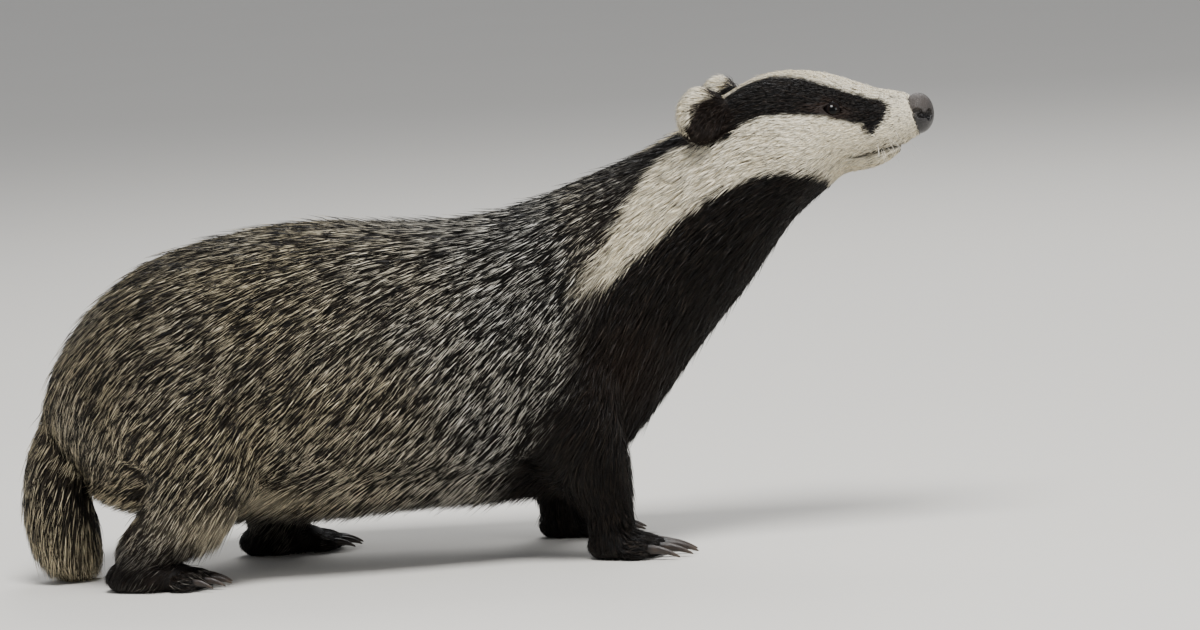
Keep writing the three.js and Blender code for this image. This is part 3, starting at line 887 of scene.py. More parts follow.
def slit(points, side):
    """How far points lie from the middle of the eye's opening: 1 at its rim, and whether above."""
    centre, forward, upward, out = eye_frame(side)
    away = points - centre
    u = away @ forward / LIDS["half_length"]
    v = away @ upward / LIDS["half_height"]
    reach = np.sqrt(u**2 + (v / np.maximum(1 - 0.42 * np.minimum(u**2, 1), 0.2)) ** 2)
    return np.where(away @ out > -4, reach, 99), v


def near_features(points):
    """Whether points lie by the eyes or the mouth."""
    at = straightened(points)
    eyes = np.minimum(slit(at, 1)[0], slit(at, -1)[0]) < 3.2
    mouth = (at[:, 0] > 288) & (np.abs(at[:, 2] - mouth_height(at[:, 0])) < 7)
    return eyes | mouth


def mouth_height(x):
    """Height of the line between the lips."""
    xs, zs = zip(*MOUTH_LINE)
    return np.interp(x, xs, zs)


def carve_face(skin):
    """Opens the eyes between their lids, draws the mouth and fits the muzzle to the nose."""
    at = straightened(points_of(skin))
    out = straightened(points_of(skin) + normals_of(skin)) - at
    lift = np.zeros(len(at))
    for side in (1, -1):
        reach, above = slit(at, side)
        lift -= LIDS["socket"] * (1 - smooth_step(0.84, 1.1, reach))
        rim = np.exp(-(((reach - 1.32) / 0.26) ** 2))
        lift += LIDS["rim"] * rim * np.where(above > 0, 1.15, 0.8)
        lift -= 0.6 * np.exp(-(((reach - 1.95) / 0.25) ** 2)) * (above > 0)
    x, _, z = at.T
    over = z - mouth_height(x)
    along = smooth_step(289, 299, x)
    lift -= 1.9 * along * np.exp(-((over / 1.1) ** 2))
    lift += 0.8 * along * np.exp(-(((over - 3.2) / 2.0) ** 2))
    lift += 0.4 * along * np.exp(-(((over + 3.2) / 2.0) ** 2))
    at += out * lift[:, None]
    (top_x, top_z), (low_x, low_z) = NOSE_BACK["top"], NOSE_BACK["bottom"]
    normal = unit(np.array([top_z - low_z, 0, low_x - top_x], float))
    ahead = (at - [top_x, 0, top_z]) @ normal
    at -= normal * np.maximum(ahead + 0.3, 0)[:, None]
    narrow = 1 - 0.11 * np.clip(1 + ahead / 9, 0, 1) ** 2
    at[:, 1] *= narrow
    at[:, 2] = NOSE["at"][2] + (at[:, 2] - NOSE["at"][2]) * narrow
    set_points(skin, turned(at))


# Markings


def side_view(points):
    """The straight body's x, and where points of either side show in a view of the right side."""
    at = straightened(points)
    near = turned(np.stack([at[:, 0], -np.abs(at[:, 1]), at[:, 2]], 1))
    return at, near[:, 0], near[:, 2] + VIEW_SLOPE * near[:, 1]


def waves(points, length, seed):
    """A smooth uneven value about 0 that changes over a length."""
    random = np.random.default_rng(seed)
    total = np.zeros(len(points))
    for _ in range(5):
        direction = unit(random.normal(size=3))
        total += np.sin(points @ direction * (2 * math.pi / length) * random.uniform(0.7, 1.4)
                        + random.uniform(0, 2 * math.pi))
    return total / 5


def markings(points):
    """Shares of white, black and warm hair at places on the body."""
    at, x, z = side_view(points)
    z = z + 1.6 * waves(points, 9, 3)
    x_near = x + 2.5 * waves(points, 14, 4)
    edge = 2.0
    # bands of head and neck
    over_brow = smooth_step(-edge, edge, z - np.interp(x, *zip(*BROW)))
    over_brow = np.where(x < BROW[0][0], 0, over_brow)
    crown = 1 - smooth_step(10, 15, np.abs(at[:, 1]) + 0.14 * np.maximum(200 - at[:, 0], 0))
    on_top = at[:, 2] > np.interp(at[:, 0], [130, 200, 350], [270, 300, 310])
    over_brow = np.maximum(over_brow, crown * smooth_step(132, 156, at[:, 0]) * on_top)
    over_cheek = smooth_step(-edge, edge, z - np.interp(x, *zip(*CHEEK)))
    over_cheek = np.where(x > 321, 0, over_cheek)
    under_throat = 1 - smooth_step(-edge * 1.5, edge * 1.5, z - np.interp(x, *zip(*THROAT)))
    under_throat = np.where(x > 284, 0, under_throat)
    stripe_end = smooth_step(84, 118, x_near)
    white = np.maximum(over_brow, (1 - over_cheek) * (1 - under_throat)) * stripe_end
    nape = over_cheek * (1 - over_brow) * smooth_step(70, 165, x)
    chest = under_throat * smooth_step(-16, 14, x_near - np.interp(z, *zip(*CHEST)))
    black = np.maximum(nape, chest)
    # black legs, belly and ears
    legs = limb_share(points)
    black = np.maximum(black, legs["forefoot"])
    black = np.maximum(black, legs["hindfoot"] * (1 - smooth_step(26, 84, points[:, 2])))
    belly = (1 - smooth_step(46, 62, points[:, 2])) * (1 - legs["tail"])
    black = np.maximum(black, 0.8 * belly * smooth_step(-330, -300, points[:, 0]))
    ears = ear_marks(at)
    white = white * (1 - ears["ear"]) + ears["rim"]
    black = np.maximum(black * (1 - ears["rim"]), ears["ear"] * (1 - ears["rim"]))
    # buff tips from the flanks to the tail and behind the white of the neck
    warm = 0.15 + 0.75 * (1 - smooth_step(-120, 60, x)) + 0.25 * waves(points, 70, 5)
    warm = np.maximum(warm, smooth_step(80, 96, x) * (1 - stripe_end) * 0.8)
    warm = np.maximum(warm, legs["tail"] * 0.85)
    warm = np.maximum(warm, 0.55 * smooth_step(84, 100, x) * (1 - smooth_step(110, 225, x)))
    white = np.maximum(white, 0.08 * legs["tail"] * (1 - smooth_step(30, 84, z)))
    fold = np.exp(-(((points[:, 0] + 170) / 46) ** 2) - ((points[:, 2] - 68) / 9) ** 2)
    white = np.maximum(white, 0.5 * fold * (1 - legs["tail"]))
    # where black hair is brown, and the dark line of the lips
    eyes = np.minimum(slit(at, 1)[0], slit(at, -1)[0])
    brown = 0.05 + 0.6 * (1 - smooth_step(1.6, 3.4, eyes)) + 0.3 * ears["ear"]
    brown += 0.5 * np.exp(-(((x - 122) / 30) ** 2) - ((z - 150) / 34) ** 2)
    over_mouth = at[:, 2] - mouth_height(at[:, 0])
    lips = smooth_step(288, 300, at[:, 0]) * np.exp(-((over_mouth / 1.5) ** 2))
    black = np.maximum(black, 0.9 * lips)
    white = white * (1 - 0.9 * lips)
    warm = warm + (brown - warm) * black
    return np.clip(np.stack([white, black * (1 - white), warm], 1), 0, 1)


def ear_marks(at):
    """Where points lie on the ears, and on the white upper rim."""
    ear, rim = np.zeros(len(at)), np.zeros(len(at))
    for side in (1, -1):
        local = in_ear(at, side) / EAR["half"]
        reach = np.linalg.norm(local, axis=1)
        here = (reach < 1.35) & (at[:, 1] * side > 30) & (local[:, 2] > -0.9)
        ear = np.maximum(ear, here * 1.0)
        over = local[:, 2] - np.interp(local[:, 0], [-1, -0.5, 0, 1], [-0.25, 0.1, 0.45, 0.55])
        rim = np.maximum(rim, here * smooth_step(-0.06, 0.1, over))
    return {"ear": ear, "rim": rim}


def limb_share(points):
    """How much of each kind of limb there is at places on the body."""
    at, _, reach, _, kinds = LIE
    weight = lie_weights(points, at, reach)
    return {kind: weight @ (kinds == kind) for kind in ("forefoot", "hindfoot", "tail")}


# The lie of the coat


def body_middles():
    """Middles between back and underside of the straight body."""
    top_x, top_z, low_x, low_z = np.array(BODY, float)[:, :4].T
    return np.stack([(top_x + low_x) / 2, 0 * top_x, (top_z + low_z) / 2], 1)


def lie_lines():
    """Places along the body and limbs with the way the hair runs there, its reach and its zone."""
    at, ahead, reach, zones, kinds = [], [], [], [], []

    def add(points, directions, radii, names, kind):
        at.append(points)
        ahead.append(directions)
        reach.append(radii)
        zones.extend(names)
        kinds.extend([kind] * len(points))

    rows = np.array(BODY, float)
    share = np.linspace(0, 1, 48)
    line = through(body_middles(), share)
    high = np.hypot(rows[:, 0] - rows[:, 2], rows[:, 1] - rows[:, 3]) / 2
    radii = through(np.stack([high, rows[:, 4], rows[:, 4]], 1), share)[:, :2].mean(1)
    names = np.select(
        [line[:, 0] > 316, line[:, 0] > 258, line[:, 0] > 212, line[:, 0] > 105],
        ["muzzle", "face", "cheek", "neck"], "body",
    )
    placed = turned(line)
    along = unit(np.gradient(placed, axis=0))
    back = unit(-0.55 * along + [-0.45, 0, 0])
    add(placed, back, radii, names, "body")
    for (foot_name, side_name), leg in LEGS.items():
        share = np.linspace(0.12, 1, 9)
        points, down, sizes = spine(mirrored(leg, SIDES[side_name]), share)
        low, high = (112, 112) if foot_name == "forefoot" else (36, 92)
        names = np.select([points[:, 2] > high, points[:, 2] > low], ["body", "thigh"], "leg")
        high = smooth_step(50, 125, points[:, 2])[:, None]
        down = unit(down * (1 - high) + np.array([-0.72, 0, -0.7]) * high)
        add(points, down, sizes[:, :2].mean(1) * (1 - 0.3 * high[:, 0]), names, foot_name)
        foot = FOOT[foot_name]
        spots = [(x, 0, z) for x, z, _, _ in foot["sole"]] + [(foot["toes"][2][0], 0, 6)]
        tips = np.array([(x, y, 6) for x, y, _ in foot["toes"]], float)
        placed = foot_shape(foot, side_name)(np.vstack([spots, tips]))
        forward = foot_shape(foot, side_name)(np.array([[1.0, 0, 0], [0, 0, 0]]))
        directions = np.tile(forward[0] - forward[1], (len(placed), 1))
        directions[:2] = [0, 0, -1]
        add(placed, directions, np.full(len(placed), 11.0), ["foot"] * len(placed), foot_name)
    points, down, sizes = spine(TAIL, np.linspace(0.1, 1, 9))
    add(points, down, sizes[:, :2].mean(1), ["tail"] * len(points), "tail")
    for side in (1, -1):
        base = turned((np.array(EAR["at"]) * [1, side, 1])[None])
        add(base, unit(np.array([[-0.85, 0.25 * side, 0.2]])), np.array([17.0]), ["ear"], "ear")
    table = np.array([[name == other for other in ZONE_NAMES] for name in zones], float)
    return np.vstack(at), np.vstack(ahead), np.concatenate(reach), table, np.array(kinds)


def lie_weights(points, at, reach):
    """How much each place of the lines counts at points."""
    out = np.empty((len(points), len(at)), np.float32)
    for first in range(0, len(points), 20000):
        away = np.linalg.norm(points[first:first + 20000, None] - at, axis=2)
        weight = (reach / np.maximum(away, 1)) ** 8
        out[first:first + 20000] = weight / weight.sum(1, keepdims=True)
    return out


def lie(points, normals):
    """Direction of the hair over the skin at points, and shares of the zones."""
    at, ahead, reach, zones, kinds = LIE
    weight = lie_weights(points, at, reach)
    flow = weight @ ahead
    share = weight @ zones
    body = weight @ (kinds == "body")
    x = straightened(points)[:, 0]
    slant = 0.85 - 0.6 * smooth_step(70, 190, x) - 0.2 * smooth_step(200, 240, x)
    flow[:, 2] -= body * slant * np.abs(normals[:, 1])
    flow[:, 2] -= body * 0.7 * (1 - smooth_step(-320, -230, x))
    flow[:, 2] -= body * 0.8 * np.maximum(normals[:, 0], 0) * (x < 190)
    flow[:, 2] += body * 0.4 * (1 - smooth_step(60, 110, points[:, 2])) * smooth_step(-240, -180, x)
    ears = weight @ (kinds == "ear")
    flow[:, 2] -= ears * 1.3 * (1 - smooth_step(320, 342, points[:, 2]))
    under = smooth_step(0.45, 0.85, -normals[:, 2]) * share[:, ZONE_NAMES.index("body")]
    share[:, ZONE_NAMES.index("belly")] += under
    share[:, ZONE_NAMES.index("body")] -= under
    flow -= normals * np.sum(flow * normals, 1, keepdims=True)
    return unit(flow), share


LIE = lie_lines()  # worked out once, for the markings and the coat


def surface_of(skin):
    """The skin's surface, to look for nearest places on it."""
    faces = [polygon.vertices[:] for polygon in skin.data.polygons]
    return BVHTree.FromPolygons(points_of(skin).tolist(), faces)


def nearest_on(tree, points):
    """Nearest places on the skin to points, with their normals."""
    places = np.empty_like(points)
    normals = np.empty_like(points)
    for i, point in enumerate(points):
        place, normal, _, _ = tree.find_nearest(point)
        places[i] = place
        normals[i] = normal
    return places, normals


def sown(skin, random, fullness):
    """Places spread over the skin by the coat's thickness, with their normals."""
    mesh = skin.data
    mesh.calc_loop_triangles()
    corners = np.empty(len(mesh.loop_triangles) * 3, int)
    mesh.loop_triangles.foreach_get("vertices", corners)
    at = points_of(skin)[corners.reshape(-1, 3)]
    cross = np.cross(at[:, 1] - at[:, 0], at[:, 2] - at[:, 0])
    area = np.linalg.norm(cross, axis=1) / 2
    normals = unit(cross)
    centres = at.mean(1)
    _, share = lie(centres, normals)
    wanted = area * (share @ ZONE_TABLE[:, 3]) * fullness * grows_here(centres, normals)
    count = np.floor(wanted + random.random(len(wanted))).astype(int)
    chosen = np.repeat(np.arange(len(at)), count)
    u, v = random.random((2, len(chosen)))
    flip = u + v > 1
    u, v = np.where(flip, 1 - u, u), np.where(flip, 1 - v, v)
    a, b, c = (at[chosen, k] for k in range(3))
    places = a + (b - a) * u[:, None] + (c - a) * v[:, None]
    return places, normals[chosen]


def grows_here(points, normals):
    """0 where the skin is bare: in the eyes, between the lips, behind the nose and on soles."""
    at = straightened(points)
    eyes = np.minimum(slit(at, 1)[0], slit(at, -1)[0])
    open_eye = smooth_step(1.2, 1.75, eyes)
    lips = np.clip((at[:, 0] - 290) / 4, 0, 1) * (np.abs(at[:, 2] - mouth_height(at[:, 0])) < 1.3)
    sole = (points[:, 2] < 2.5) & (normals[:, 2] < -0.5)
    behind_nose = at[:, 0] > 346.5
    return open_eye * (1 - lips) * ~sole * ~behind_nose


def unwrapped(points, piece_lines):
    """Places on a flat square of the skin unrolled about the piece's own middle line."""
    at, ahead = piece_lines
    away = np.linalg.norm(points[:, None] - at, axis=2)
    near = away.argmin(1)
    step = np.sum((points - at[near]) * ahead[near], 1)
    lengths = np.concatenate([[0], np.cumsum(np.linalg.norm(np.diff(at, axis=0), axis=1))])
    along = lengths[near] + step
    off = points - at[near] - ahead[near] * step[:, None]
    side = unit(np.array([0, 1, 0]) - ahead[near] * ahead[near][:, 1:2])
    around = np.arctan2(np.sum(off * side, 1), np.sum(off * np.cross(side, ahead[near]), 1))
    both = np.stack([along, around], 1)
    low, high = both.min(0), both.max(0)
    return 0.01 + 0.97 * (both - low) / (high - low)


# Corners of a tuft: three at its root, three at its middle and its tip, as closed faces
TUFT_FACES = [(0, 1, 4, 3), (1, 2, 5, 4), (2, 0, 3, 5), (3, 4, 6), (4, 5, 6), (5, 3, 6), (2, 1, 0)]
TUFT_MAP = [
    ((0, 0), (0, 1), (0.5, 1), (0.5, 0)),
    ((0, 1), (0, 2), (0.5, 2), (0.5, 1)),
    ((0, 2), (0, 3), (0.5, 3), (0.5, 2)),
    ((0.5, 0), (0.5, 1), (1, 0.5)),
    ((0.5, 1), (0.5, 2), (1, 1.5)),
    ((0.5, 2), (0.5, 3), (1, 2.5)),
    ((0, 3), (0, 2), (0.1, 2.5)),
]
PATCH = 0.003  # size of a tuft's own patch on the map


def tuft_rings(root, root_ahead, root_up, middle, ahead, up, tip, width):
    """The seven corners of every tuft."""
    corners = np.empty((len(root), 7, 3))
    for ring, (centre, forward, rise, size) in enumerate(
        ((root, root_ahead, root_up, 0.75), (middle, ahead, up, 1.0))
    ):
        side = unit(np.cross(rise, forward))
        over = np.cross(forward, side)
        for k in range(3):
            turn = 2 * math.pi * k / 3 + math.pi / 6
            flat = side * math.cos(turn) + over * math.sin(turn) * 0.7
            corners[:, ring * 3 + k] = centre + flat * (width * size / 2)[:, None]
    corners[:, 6] = tip
    return corners


def tuft_mesh(name, corners, marks, hair, map_at):
    """A mesh of many tufts with their markings and their patches on the map."""
    count = len(corners)
    template = np.concatenate([np.array(face) for face in TUFT_FACES])
    sizes = np.tile([len(face) for face in TUFT_FACES], count)
    starts = np.concatenate([[0], np.cumsum(sizes)[:-1]])
    loops = (template[None] + 7 * np.arange(count)[:, None]).ravel()
    mesh = bpy.data.meshes.new(name)
    mesh.vertices.add(count * 7)
    mesh.vertices.foreach_set("co", (corners * MM).astype(np.float32).ravel())
    mesh.loops.add(len(loops))
    mesh.loops.foreach_set("vertex_index", loops.astype(np.int32))
    mesh.polygons.add(len(sizes))
    mesh.polygons.foreach_set("loop_start", starts.astype(np.int32))
    layer = mesh.uv_layers.new(name="OFBake")
    patch = np.array([spot for face in TUFT_MAP for spot in face]) * [1, 1 / 3]
    flat = map_at[:, None] + patch[None] * PATCH
    layer.data.foreach_set("uv", flat.astype(np.float32).ravel())
    mesh.update(calc_edges=True)
    mesh.validate()
    piece = bpy.data.objects.new(name, mesh)
    bpy.context.scene.collection.objects.link(piece)
    keep_values(piece, "marks", np.repeat(marks, 7, 0))
    along = np.tile([0, 0, 0, MIDDLE_AT, MIDDLE_AT, MIDDLE_AT, 1.0], count)
    keep_values(piece, "hair", np.column_stack([along, np.repeat(hair, 7, 0)]))
    return piece


def swung(ahead, up, yaw):
    """Directions along the skin, turned about its normals by angles."""
    side = np.cross(up, ahead)
    return unit(ahead * np.cos(yaw)[:, None] + side * np.sin(yaw)[:, None])


def grown_coat(skin, settings):
    """All tufts of the coat: corners, markings, chances, roots and shares of the zones."""
    random = np.random.default_rng(settings.seed)
    tree = surface_of(skin)
    root, up = sown(skin, random, settings.fullness)
    flow, share = lie(root, up)
    length, width, rise, _ = (share @ ZONE_TABLE).T
    count = len(root)
    length = length * settings.length * random.uniform(0.75, 1.2, count)
    width = width * random.uniform(0.75, 1.25, count)
    yaw = 0.12 * waves(root, 30, 11) + 0.16 * waves(root, 9, 12) + random.normal(0, 0.09, count)
    flow = swung(flow, up, yaw)
    halfway = root + flow * (length * MIDDLE_AT)[:, None]
    middle, middle_up = nearest_on(tree, halfway)
    onward, _ = lie(middle, middle_up)
    onward = swung(onward, middle_up, yaw)
    tip, tip_up = nearest_on(tree, middle + onward * (length * (1 - MIDDLE_AT))[:, None])
    fringe = share[:, ZONE_NAMES.index("body")] * (1 - smooth_step(62, 95, root[:, 2]))
    hang = 0.6 * fringe + 0.7 * share[:, ZONE_NAMES.index("belly")]
    free = hang + share @ np.isin(ZONE_NAMES, ["thigh", "ear", "tail"]) * 0.4
    middle += (halfway - middle) * (free * 0.5)[:, None]
    tip += (root + flow * length[:, None] - tip) * free[:, None]
    tip[:, 2] -= 0.4 * hang * length
    middle[:, 2] -= 0.12 * hang * length
    stray = np.where(random.random(count) < 0.05, random.uniform(0.2, 0.9, count), 0)
    lift = rise * (random.uniform(0.72, 1.1, count) + stray)
    middle = middle + middle_up * (lift * 0.72)[:, None]
    tip = tip + tip_up * lift[:, None]
    leaders = random.permutation(count)[: count // 4]
    middle, tip = clumped(root, middle, tip, leaders, random.uniform(0.0, 0.26, count))
    tip[:, 2] = np.maximum(tip[:, 2], COAT_LOWEST)
    middle[:, 2] = np.maximum(middle[:, 2], COAT_LOWEST)
    corners = tuft_rings(root - up * 0.7, unit(middle - root), up, middle, unit(tip - root),
                         middle_up, tip, width)
    hair = random.random((count, 2))
    marks = markings(root)
    x, _, z = straightened(root).T
    mouth = smooth_step(286, 296, x) * np.exp(-(((z - mouth_height(x)) / 5) ** 2))
    likely = 0.1 + 0.18 * share[:, ZONE_NAMES.index("muzzle")] + 0.45 * mouth
    speckled = marks[:, 0] * (random.random(count) < likely) * random.uniform(0.2, 0.85, count)
    marks += np.stack([-speckled, 0.9 * speckled, 0 * speckled], 1)
    return corners, marks, hair, root, share


def clumped(root, middle, tip, leaders, pull):
    """Middles and tips drawn to those of the nearest leading tuft."""
    tree = KDTree(len(leaders))
    for i, leader in enumerate(leaders):
        tree.insert(root[leader], i)
    tree.balance()
    nearest = leaders[[tree.find(point)[1] for point in root]]
    offset = root - root[nearest]
    pull = pull[:, None]
    middle = middle + (middle[nearest] + 0.75 * offset - middle) * pull * 0.5
    tip = tip + (tip[nearest] + 0.45 * offset - tip) * pull
    return middle, tip


def coat_pieces(root, share):
    """Which piece of the coat each tuft belongs to, by name."""
    x, y, _ = straightened(root).T
    zone = np.array(ZONE_NAMES)[share.argmax(1)]
    side = np.where(y < 0, "right", "left")
    limbs = np.isin(zone, ["thigh", "leg", "foot"])
    spans = [
        (zone == "tail", "coat_tail"),
        (limbs & (x > -60), "coat_forelegs"),
        (limbs, "coat_hindlegs"),
        (zone == "ear", "coat_ears"),
        (x > 262, "coat_face"),
        (x > 205, "coat_head"),
        (x > 95, "coat_neck"),
        (x > -30, "coat_shoulder"),
        (x > -190, "coat_flank"),
    ]
    base = np.select([where for where, _ in spans], [name for _, name in spans], "coat_rump")
    paired = np.isin(base, ["coat_neck", "coat_shoulder", "coat_flank", "coat_rump", "coat_head"])
    return np.where(paired, np.char.add(np.char.add(base, "_"), side), base)


COAT_SLOTS = {
    "coat_tail": "tail_coat",
    "coat_forelegs": "black_coat",
    "coat_hindlegs": "black_coat",
    "coat_ears": "black_coat",
    "coat_face": "striped_coat",
    "coat_head": "striped_coat",
    "coat_neck": "striped_coat",
}


def coat_slot(name):
    """Material slot of a piece of coat."""
    slots = (slot for start, slot in COAT_SLOTS.items() if name.startswith(start))
    return next(slots, "grizzled_coat")


def middle_line(name):
    """Middle line about which a piece of coat is unrolled."""
    if name == "coat_tail":
        at, ahead, _ = spine(TAIL, np.linspace(0, 1, 30))
        return at, ahead
    if name in ("coat_forelegs", "coat_hindlegs", "coat_ears"):
        # both sides unroll about one line across the body
        at = np.stack([np.zeros(60), np.linspace(-120, 120, 60), np.full(60, 50.0)], 1)
        at[:, 0] = {"coat_forelegs": 66, "coat_hindlegs": -215, "coat_ears": 185}[name]
        at[:, 2] = {"coat_forelegs": 50, "coat_hindlegs": 60, "coat_ears": 325}[name]
        return at, np.tile([0.0, 1, 0], (60, 1))
    at = turned(through(body_middles(), np.linspace(0, 1, 80)))
    return at, unit(np.gradient(at, axis=0))


# Operators


class BADGER_OT_skin(bpy.types.Operator):
    """Joins the flesh of body, limbs, ears and feet into one skin"""

    bl_idname = "badger.skin"
    bl_label = "Skin"

    def execute(self, context):
        parts = [
            ball("trunk", 96, 160, flank(BODY, skin_depth)),
            ball("jaw", 40, 40, flank(JAW, lambda x: SKIN_DEPTH["head"] + 0 * x)),
            ball("tail_core", 40, 48, limb(TAIL, SKIN_DEPTH["tail"])),
        ]
        for (foot_name, side_name), rows in LEGS.items():
            depth = SKIN_DEPTH["foreleg" if foot_name == "forefoot" else "hindleg"]
            parts.append(ball("leg", 40, 56, limb(mirrored(rows, SIDES[side_name]), depth)))
        skin = grown_together(parts, context.scene.badger_shape.voxel, SMOOTHING["skin"])
        for foot_name, side_name in LEGS:
            combined(skin, make_foot(foot_name, side_name), "UNION")
        smoothed(skin, lambda at: (at[:, 2] > 4) & (at[:, 2] < 36), SMOOTHING["ankles"])
        for side in SIDES.values():
            combined(skin, make_ear(side), "UNION")
            smoothed(skin, lambda at: by_ear(at, side), SMOOTHING["ear_front"])
        smoothed(skin, lambda at: straightened(at)[:, 0] > FINE_FROM, SMOOTHING["face"], cuts=1)
        smoothed(skin, near_features, SMOOTHING["face"], cuts=1)
        carve_face(skin)
        keep_values(skin, "marks", markings(points_of(skin)))
        nodes = ["torso", "neck", "head", "tail"]
        for side_name in SIDES:
            nodes += [f"{part}_{side_name}" for part in ("ear", "foreleg", "hindleg", *FEET)]
        finished(skin, "badger_skin", skin_material(), "grizzled_coat", nodes)
        return {"FINISHED"}


class BADGER_OT_eyes(bpy.types.Operator):
    """Sets a glossy eyeball behind each pair of lids"""

    bl_idname = "badger.eyes"
    bl_label = "Eyes"

    def execute(self, context):
        radius = context.scene.badger_shape.eye_radius / MM
        for side_name, side in SIDES.items():
            centre, _, _, out = eye_frame(side)
            centre = centre - out * EYE["sunk"]
            eye = oval("eye", centre, (radius, radius, radius), 48, 32)
            direction = unit(points_of(eye) - centre)
            angle = np.arccos(np.clip(direction @ out, -1, 1))
            bulge = 0.5 * np.exp(-((angle / 0.55) ** 2))
            set_points(eye, points_of(eye) + direction * bulge[:, None])
            on_head(eye)
            keep_values(eye, "gaze", np.stack([angle, angle, angle], 1))
            finished(eye, f"eyeball_{side_name}", eye_material(), "eye_dark", [f"eye_{side_name}"])
        return {"FINISHED"}


class BADGER_OT_nose(bpy.types.Operator):
    """Shapes the nose pad with its nostrils and groove"""

    bl_idname = "badger.nose"
    bl_label = "Nose"

    def execute(self, context):
        pad = oval("nose", NOSE["at"], NOSE["half"], 64, 48)
        for side in SIDES.values():
            for at, half in NOSTRILS:
                combined(pad, oval("hole", np.array(at) * [1, side, 1], half), "DIFFERENCE")
        pad = grown_together([pad], NOSE_VOXEL, SMOOTHING["nose"])
        at = points_of(pad)
        low = smooth_step(322, 314, at[:, 2])
        at[:, 0] -= 1.6 * np.exp(-((at[:, 1] / 0.9) ** 2)) * (at[:, 0] > 345) * low
        set_points(pad, at)
        on_head(pad)
        finished(pad, "nose_leather", nose_material(), "nose_skin", ["nose_pad"])
        return {"FINISHED"}


class BADGER_OT_claws(bpy.types.Operator):
    """Models the five curved claws of each foot"""

    bl_idname = "badger.claws"
    bl_label = "Claws"

    def execute(self, context):
        material = claw_material()
        for foot_name, side_name in LEGS:
            foot = FOOT[foot_name]
            made = joined([self.claw(foot, toe) for toe in foot["toes"]])
            set_points(made, foot_shape(foot, side_name)(points_of(made)))
            face_outwards(made)
            nodes = [f"{foot_name}_{side_name}_claw_{i + 1}" for i in range(len(foot["toes"]))]
            finished(made, f"{foot_name}_{side_name}_claws", material, "horn", nodes)
        return {"FINISHED"}

    def claw(self, foot, toe):
        """One claw in the frame of its foot."""
        size = foot["claw"]
        start = foot["toe"]["length"] * NAIL_AT - 2
        root = foot["toe"]["z"] + 1.5
        share = np.linspace(0, 1, 9)
        sink = (root - 1.3) * size["drop"] * share**2.2
        thin = 1 - 0.85 * share**1.6
        rows = np.stack([start + (size["length"] + 2) * share, 0 * share, root - sink,
                         size["height"] * thin, size["width"] * thin], 1)
        claw = ball("claw", 16, 24, limb(rows, 0))
        at = points_of(claw)
        along = (at[:, 0] - start) / size["length"]
        keep_values(claw, "claw", np.stack([along, at[:, 1] / size["width"], at[:, 2]], 1))
        at[:, 2] = np.maximum(at[:, 2], FOOT_LOWEST)
        x, y, splay = toe
        set_points(claw, turned_about(at, splay, x, y))
        return claw


class BADGER_OT_coat(bpy.types.Operator):
    """Grows the coat over the skin in tufts that follow its lie"""

    bl_idname = "badger.coat"
    bl_label = "Coat"

    def execute(self, context):
        skin = bpy.data.objects["badger_skin"]
        corners, marks, hair, root, share = grown_coat(skin, context.scene.badger_coat)
        names = coat_pieces(root, share)
        material = coat_material()
        for name in sorted(set(names)):
            here = names == name
            flat = unwrapped(root[here], middle_line(name))
            piece = tuft_mesh(name, corners[here], marks[here], hair[here], flat)
            finished(piece, name, material, coat_slot(name))
        return {"FINISHED"}


class BADGER_OT_whiskers(bpy.types.Operator):
    """Adds the fine pale whiskers of muzzle and chin"""

    bl_idname = "badger.whiskers"
    bl_label = "Whiskers"

    def execute(self, context):
        random = np.random.default_rng(WHISKERS["seed"])
        count = WHISKERS["each_side"]
        longest = context.scene.badger_shape.whisker_length / MM
        side = np.repeat([1, -1], count)
        x = random.uniform(*WHISKERS["x"], 2 * count)
        z = random.uniform(*WHISKERS["z"], 2 * count)
        beside = turned(np.stack([x, side * 30, z], 1))
        root, up = nearest_on(surface_of(bpy.data.objects["badger_skin"]), beside)
        droop = np.array([0, 0, -1.0])
        forward = np.array(Matrix.Rotation(-TURN_ANGLE, 3, "Z") @ Vector((0.25, 0, 0)))
        ahead = unit(up + forward + 0.25 * random.normal(size=(2 * count, 3)))
        length = longest * random.uniform(0.45, 1, 2 * count)
        middle = root + ahead * (length * 0.5)[:, None] + droop * (length * 0.04)[:, None]
        tip = root + ahead * length[:, None] + droop * (length * 0.2)[:, None]
        over = unit(np.array([0, 0, 1.0]) - ahead * ahead[:, 2:3])
        width = np.full(2 * count, WHISKERS["width"])
        corners = tuft_rings(root - up * 0.5, ahead, over, middle, ahead, over, tip, width)
        hair = random.random((2 * count, 2))
        flat = unwrapped(root, middle_line("whiskers"))
        piece = tuft_mesh("whiskers", corners, np.zeros((2 * count, 3)), hair, flat)
        finished(piece, "whiskers", whisker_material(), "striped_coat")
        return {"FINISHED"}


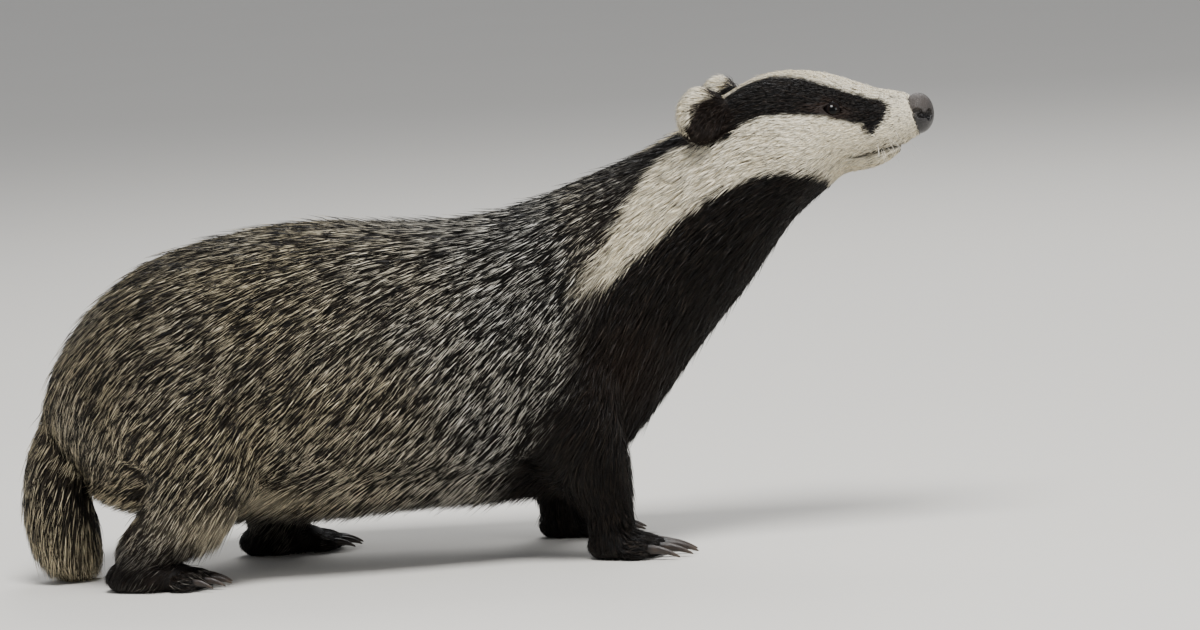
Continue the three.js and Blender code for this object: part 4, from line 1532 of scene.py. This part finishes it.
class BADGER_OT_stage(bpy.types.Operator):
    """Lays the floor and sets the lights and the camera"""

    bl_idname = "badger.stage"
    bl_label = "Stage"

    def execute(self, context):
        bpy.ops.object.select_all(action="DESELECT")
        bpy.ops.mesh.primitive_plane_add(size=FLOOR_SIZE, location=(0, 0, 0))
        floor = bpy.context.object
        floor.name = "studio_floor"
        floor.data.materials.append(floor_material())
        for name, (at, aim, size, power) in LIGHTS.items():
            lamp = bpy.data.lights.new(name, "AREA")
            lamp.size = size
            lamp.energy = power
            light = bpy.data.objects.new(name, lamp)
            light.location = at
            light.rotation_euler = (Vector(aim) - Vector(at)).to_track_quat("-Z", "Y").to_euler()
            context.scene.collection.objects.link(light)
        world = bpy.data.worlds.new("studio")
        world.use_nodes = True
        sky = world.node_tree.nodes["Background"]
        sky.inputs["Color"].default_value = SKY["colour"]
        sky.inputs["Strength"].default_value = SKY["strength"]
        context.scene.world = world
        self.camera(context)
        return {"FINISHED"}

    def camera(self, context):
        """The camera at the photograph's angle and roll."""
        elevation, roll = math.radians(CAMERA["elevation"]), math.radians(CAMERA["roll"])
        back = Vector((0, -math.cos(elevation), math.sin(elevation)))
        level, upright = Vector((1, 0, 0)), Vector((0, math.sin(elevation), math.cos(elevation)))
        right = level * math.cos(roll) - upright * math.sin(roll)
        up = level * math.sin(roll) + upright * math.cos(roll)
        data = bpy.data.cameras.new("photo")
        data.sensor_width = CAMERA["sensor"]
        data.lens = data.sensor_width * CAMERA["distance"] / CAMERA["seen"]
        camera = bpy.data.objects.new("photo", data)
        camera.matrix_world = Matrix((right, up, back)).transposed().to_4x4()
        camera.location = Vector(CAMERA["target"]) + back * CAMERA["distance"]
        context.scene.collection.objects.link(camera)
        context.scene.camera = camera


class BADGER_PT_panel(bpy.types.Panel):
    """Lists the badger's pieces and settings"""

    bl_label = "Badger"
    bl_idname = "BADGER_PT_panel"
    bl_space_type = "VIEW_3D"
    bl_region_type = "UI"
    bl_category = "Badger"

    def draw(self, context):
        for operator in OPERATORS:
            self.layout.operator(operator.bl_idname)
        for name in GROUPS:
            group = getattr(context.scene, name)
            for key in group.__annotations__:
                self.layout.prop(group, key)


OPERATORS = (BADGER_OT_skin, BADGER_OT_eyes, BADGER_OT_nose, BADGER_OT_claws, BADGER_OT_coat,
             BADGER_OT_whiskers, BADGER_OT_stage)
GROUPS = {
    "badger_shape": ShapeSettings,
    "badger_coat": CoatSettings,
    "badger_colours": ColourSettings,
}


def register():
    """Registers the settings, operators and panel."""
    for name, group in GROUPS.items():
        bpy.utils.register_class(group)
        setattr(bpy.types.Scene, name, PointerProperty(type=group))
    for cls in (*OPERATORS, BADGER_PT_panel):
        bpy.utils.register_class(cls)


def unregister():
    """Takes the settings, operators and panel away again."""
    for cls in (BADGER_PT_panel, *reversed(OPERATORS)):
        bpy.utils.unregister_class(cls)
    for name, group in GROUPS.items():
        delattr(bpy.types.Scene, name)
        bpy.utils.unregister_class(group)


def main():
    """Builds the badger on its stage."""
    register()
    bpy.ops.badger.skin()
    bpy.ops.badger.eyes()
    bpy.ops.badger.nose()
    bpy.ops.badger.claws()
    bpy.ops.badger.coat()
    bpy.ops.badger.whiskers()
    bpy.ops.badger.stage()


if __name__ == "__main__":
    main()
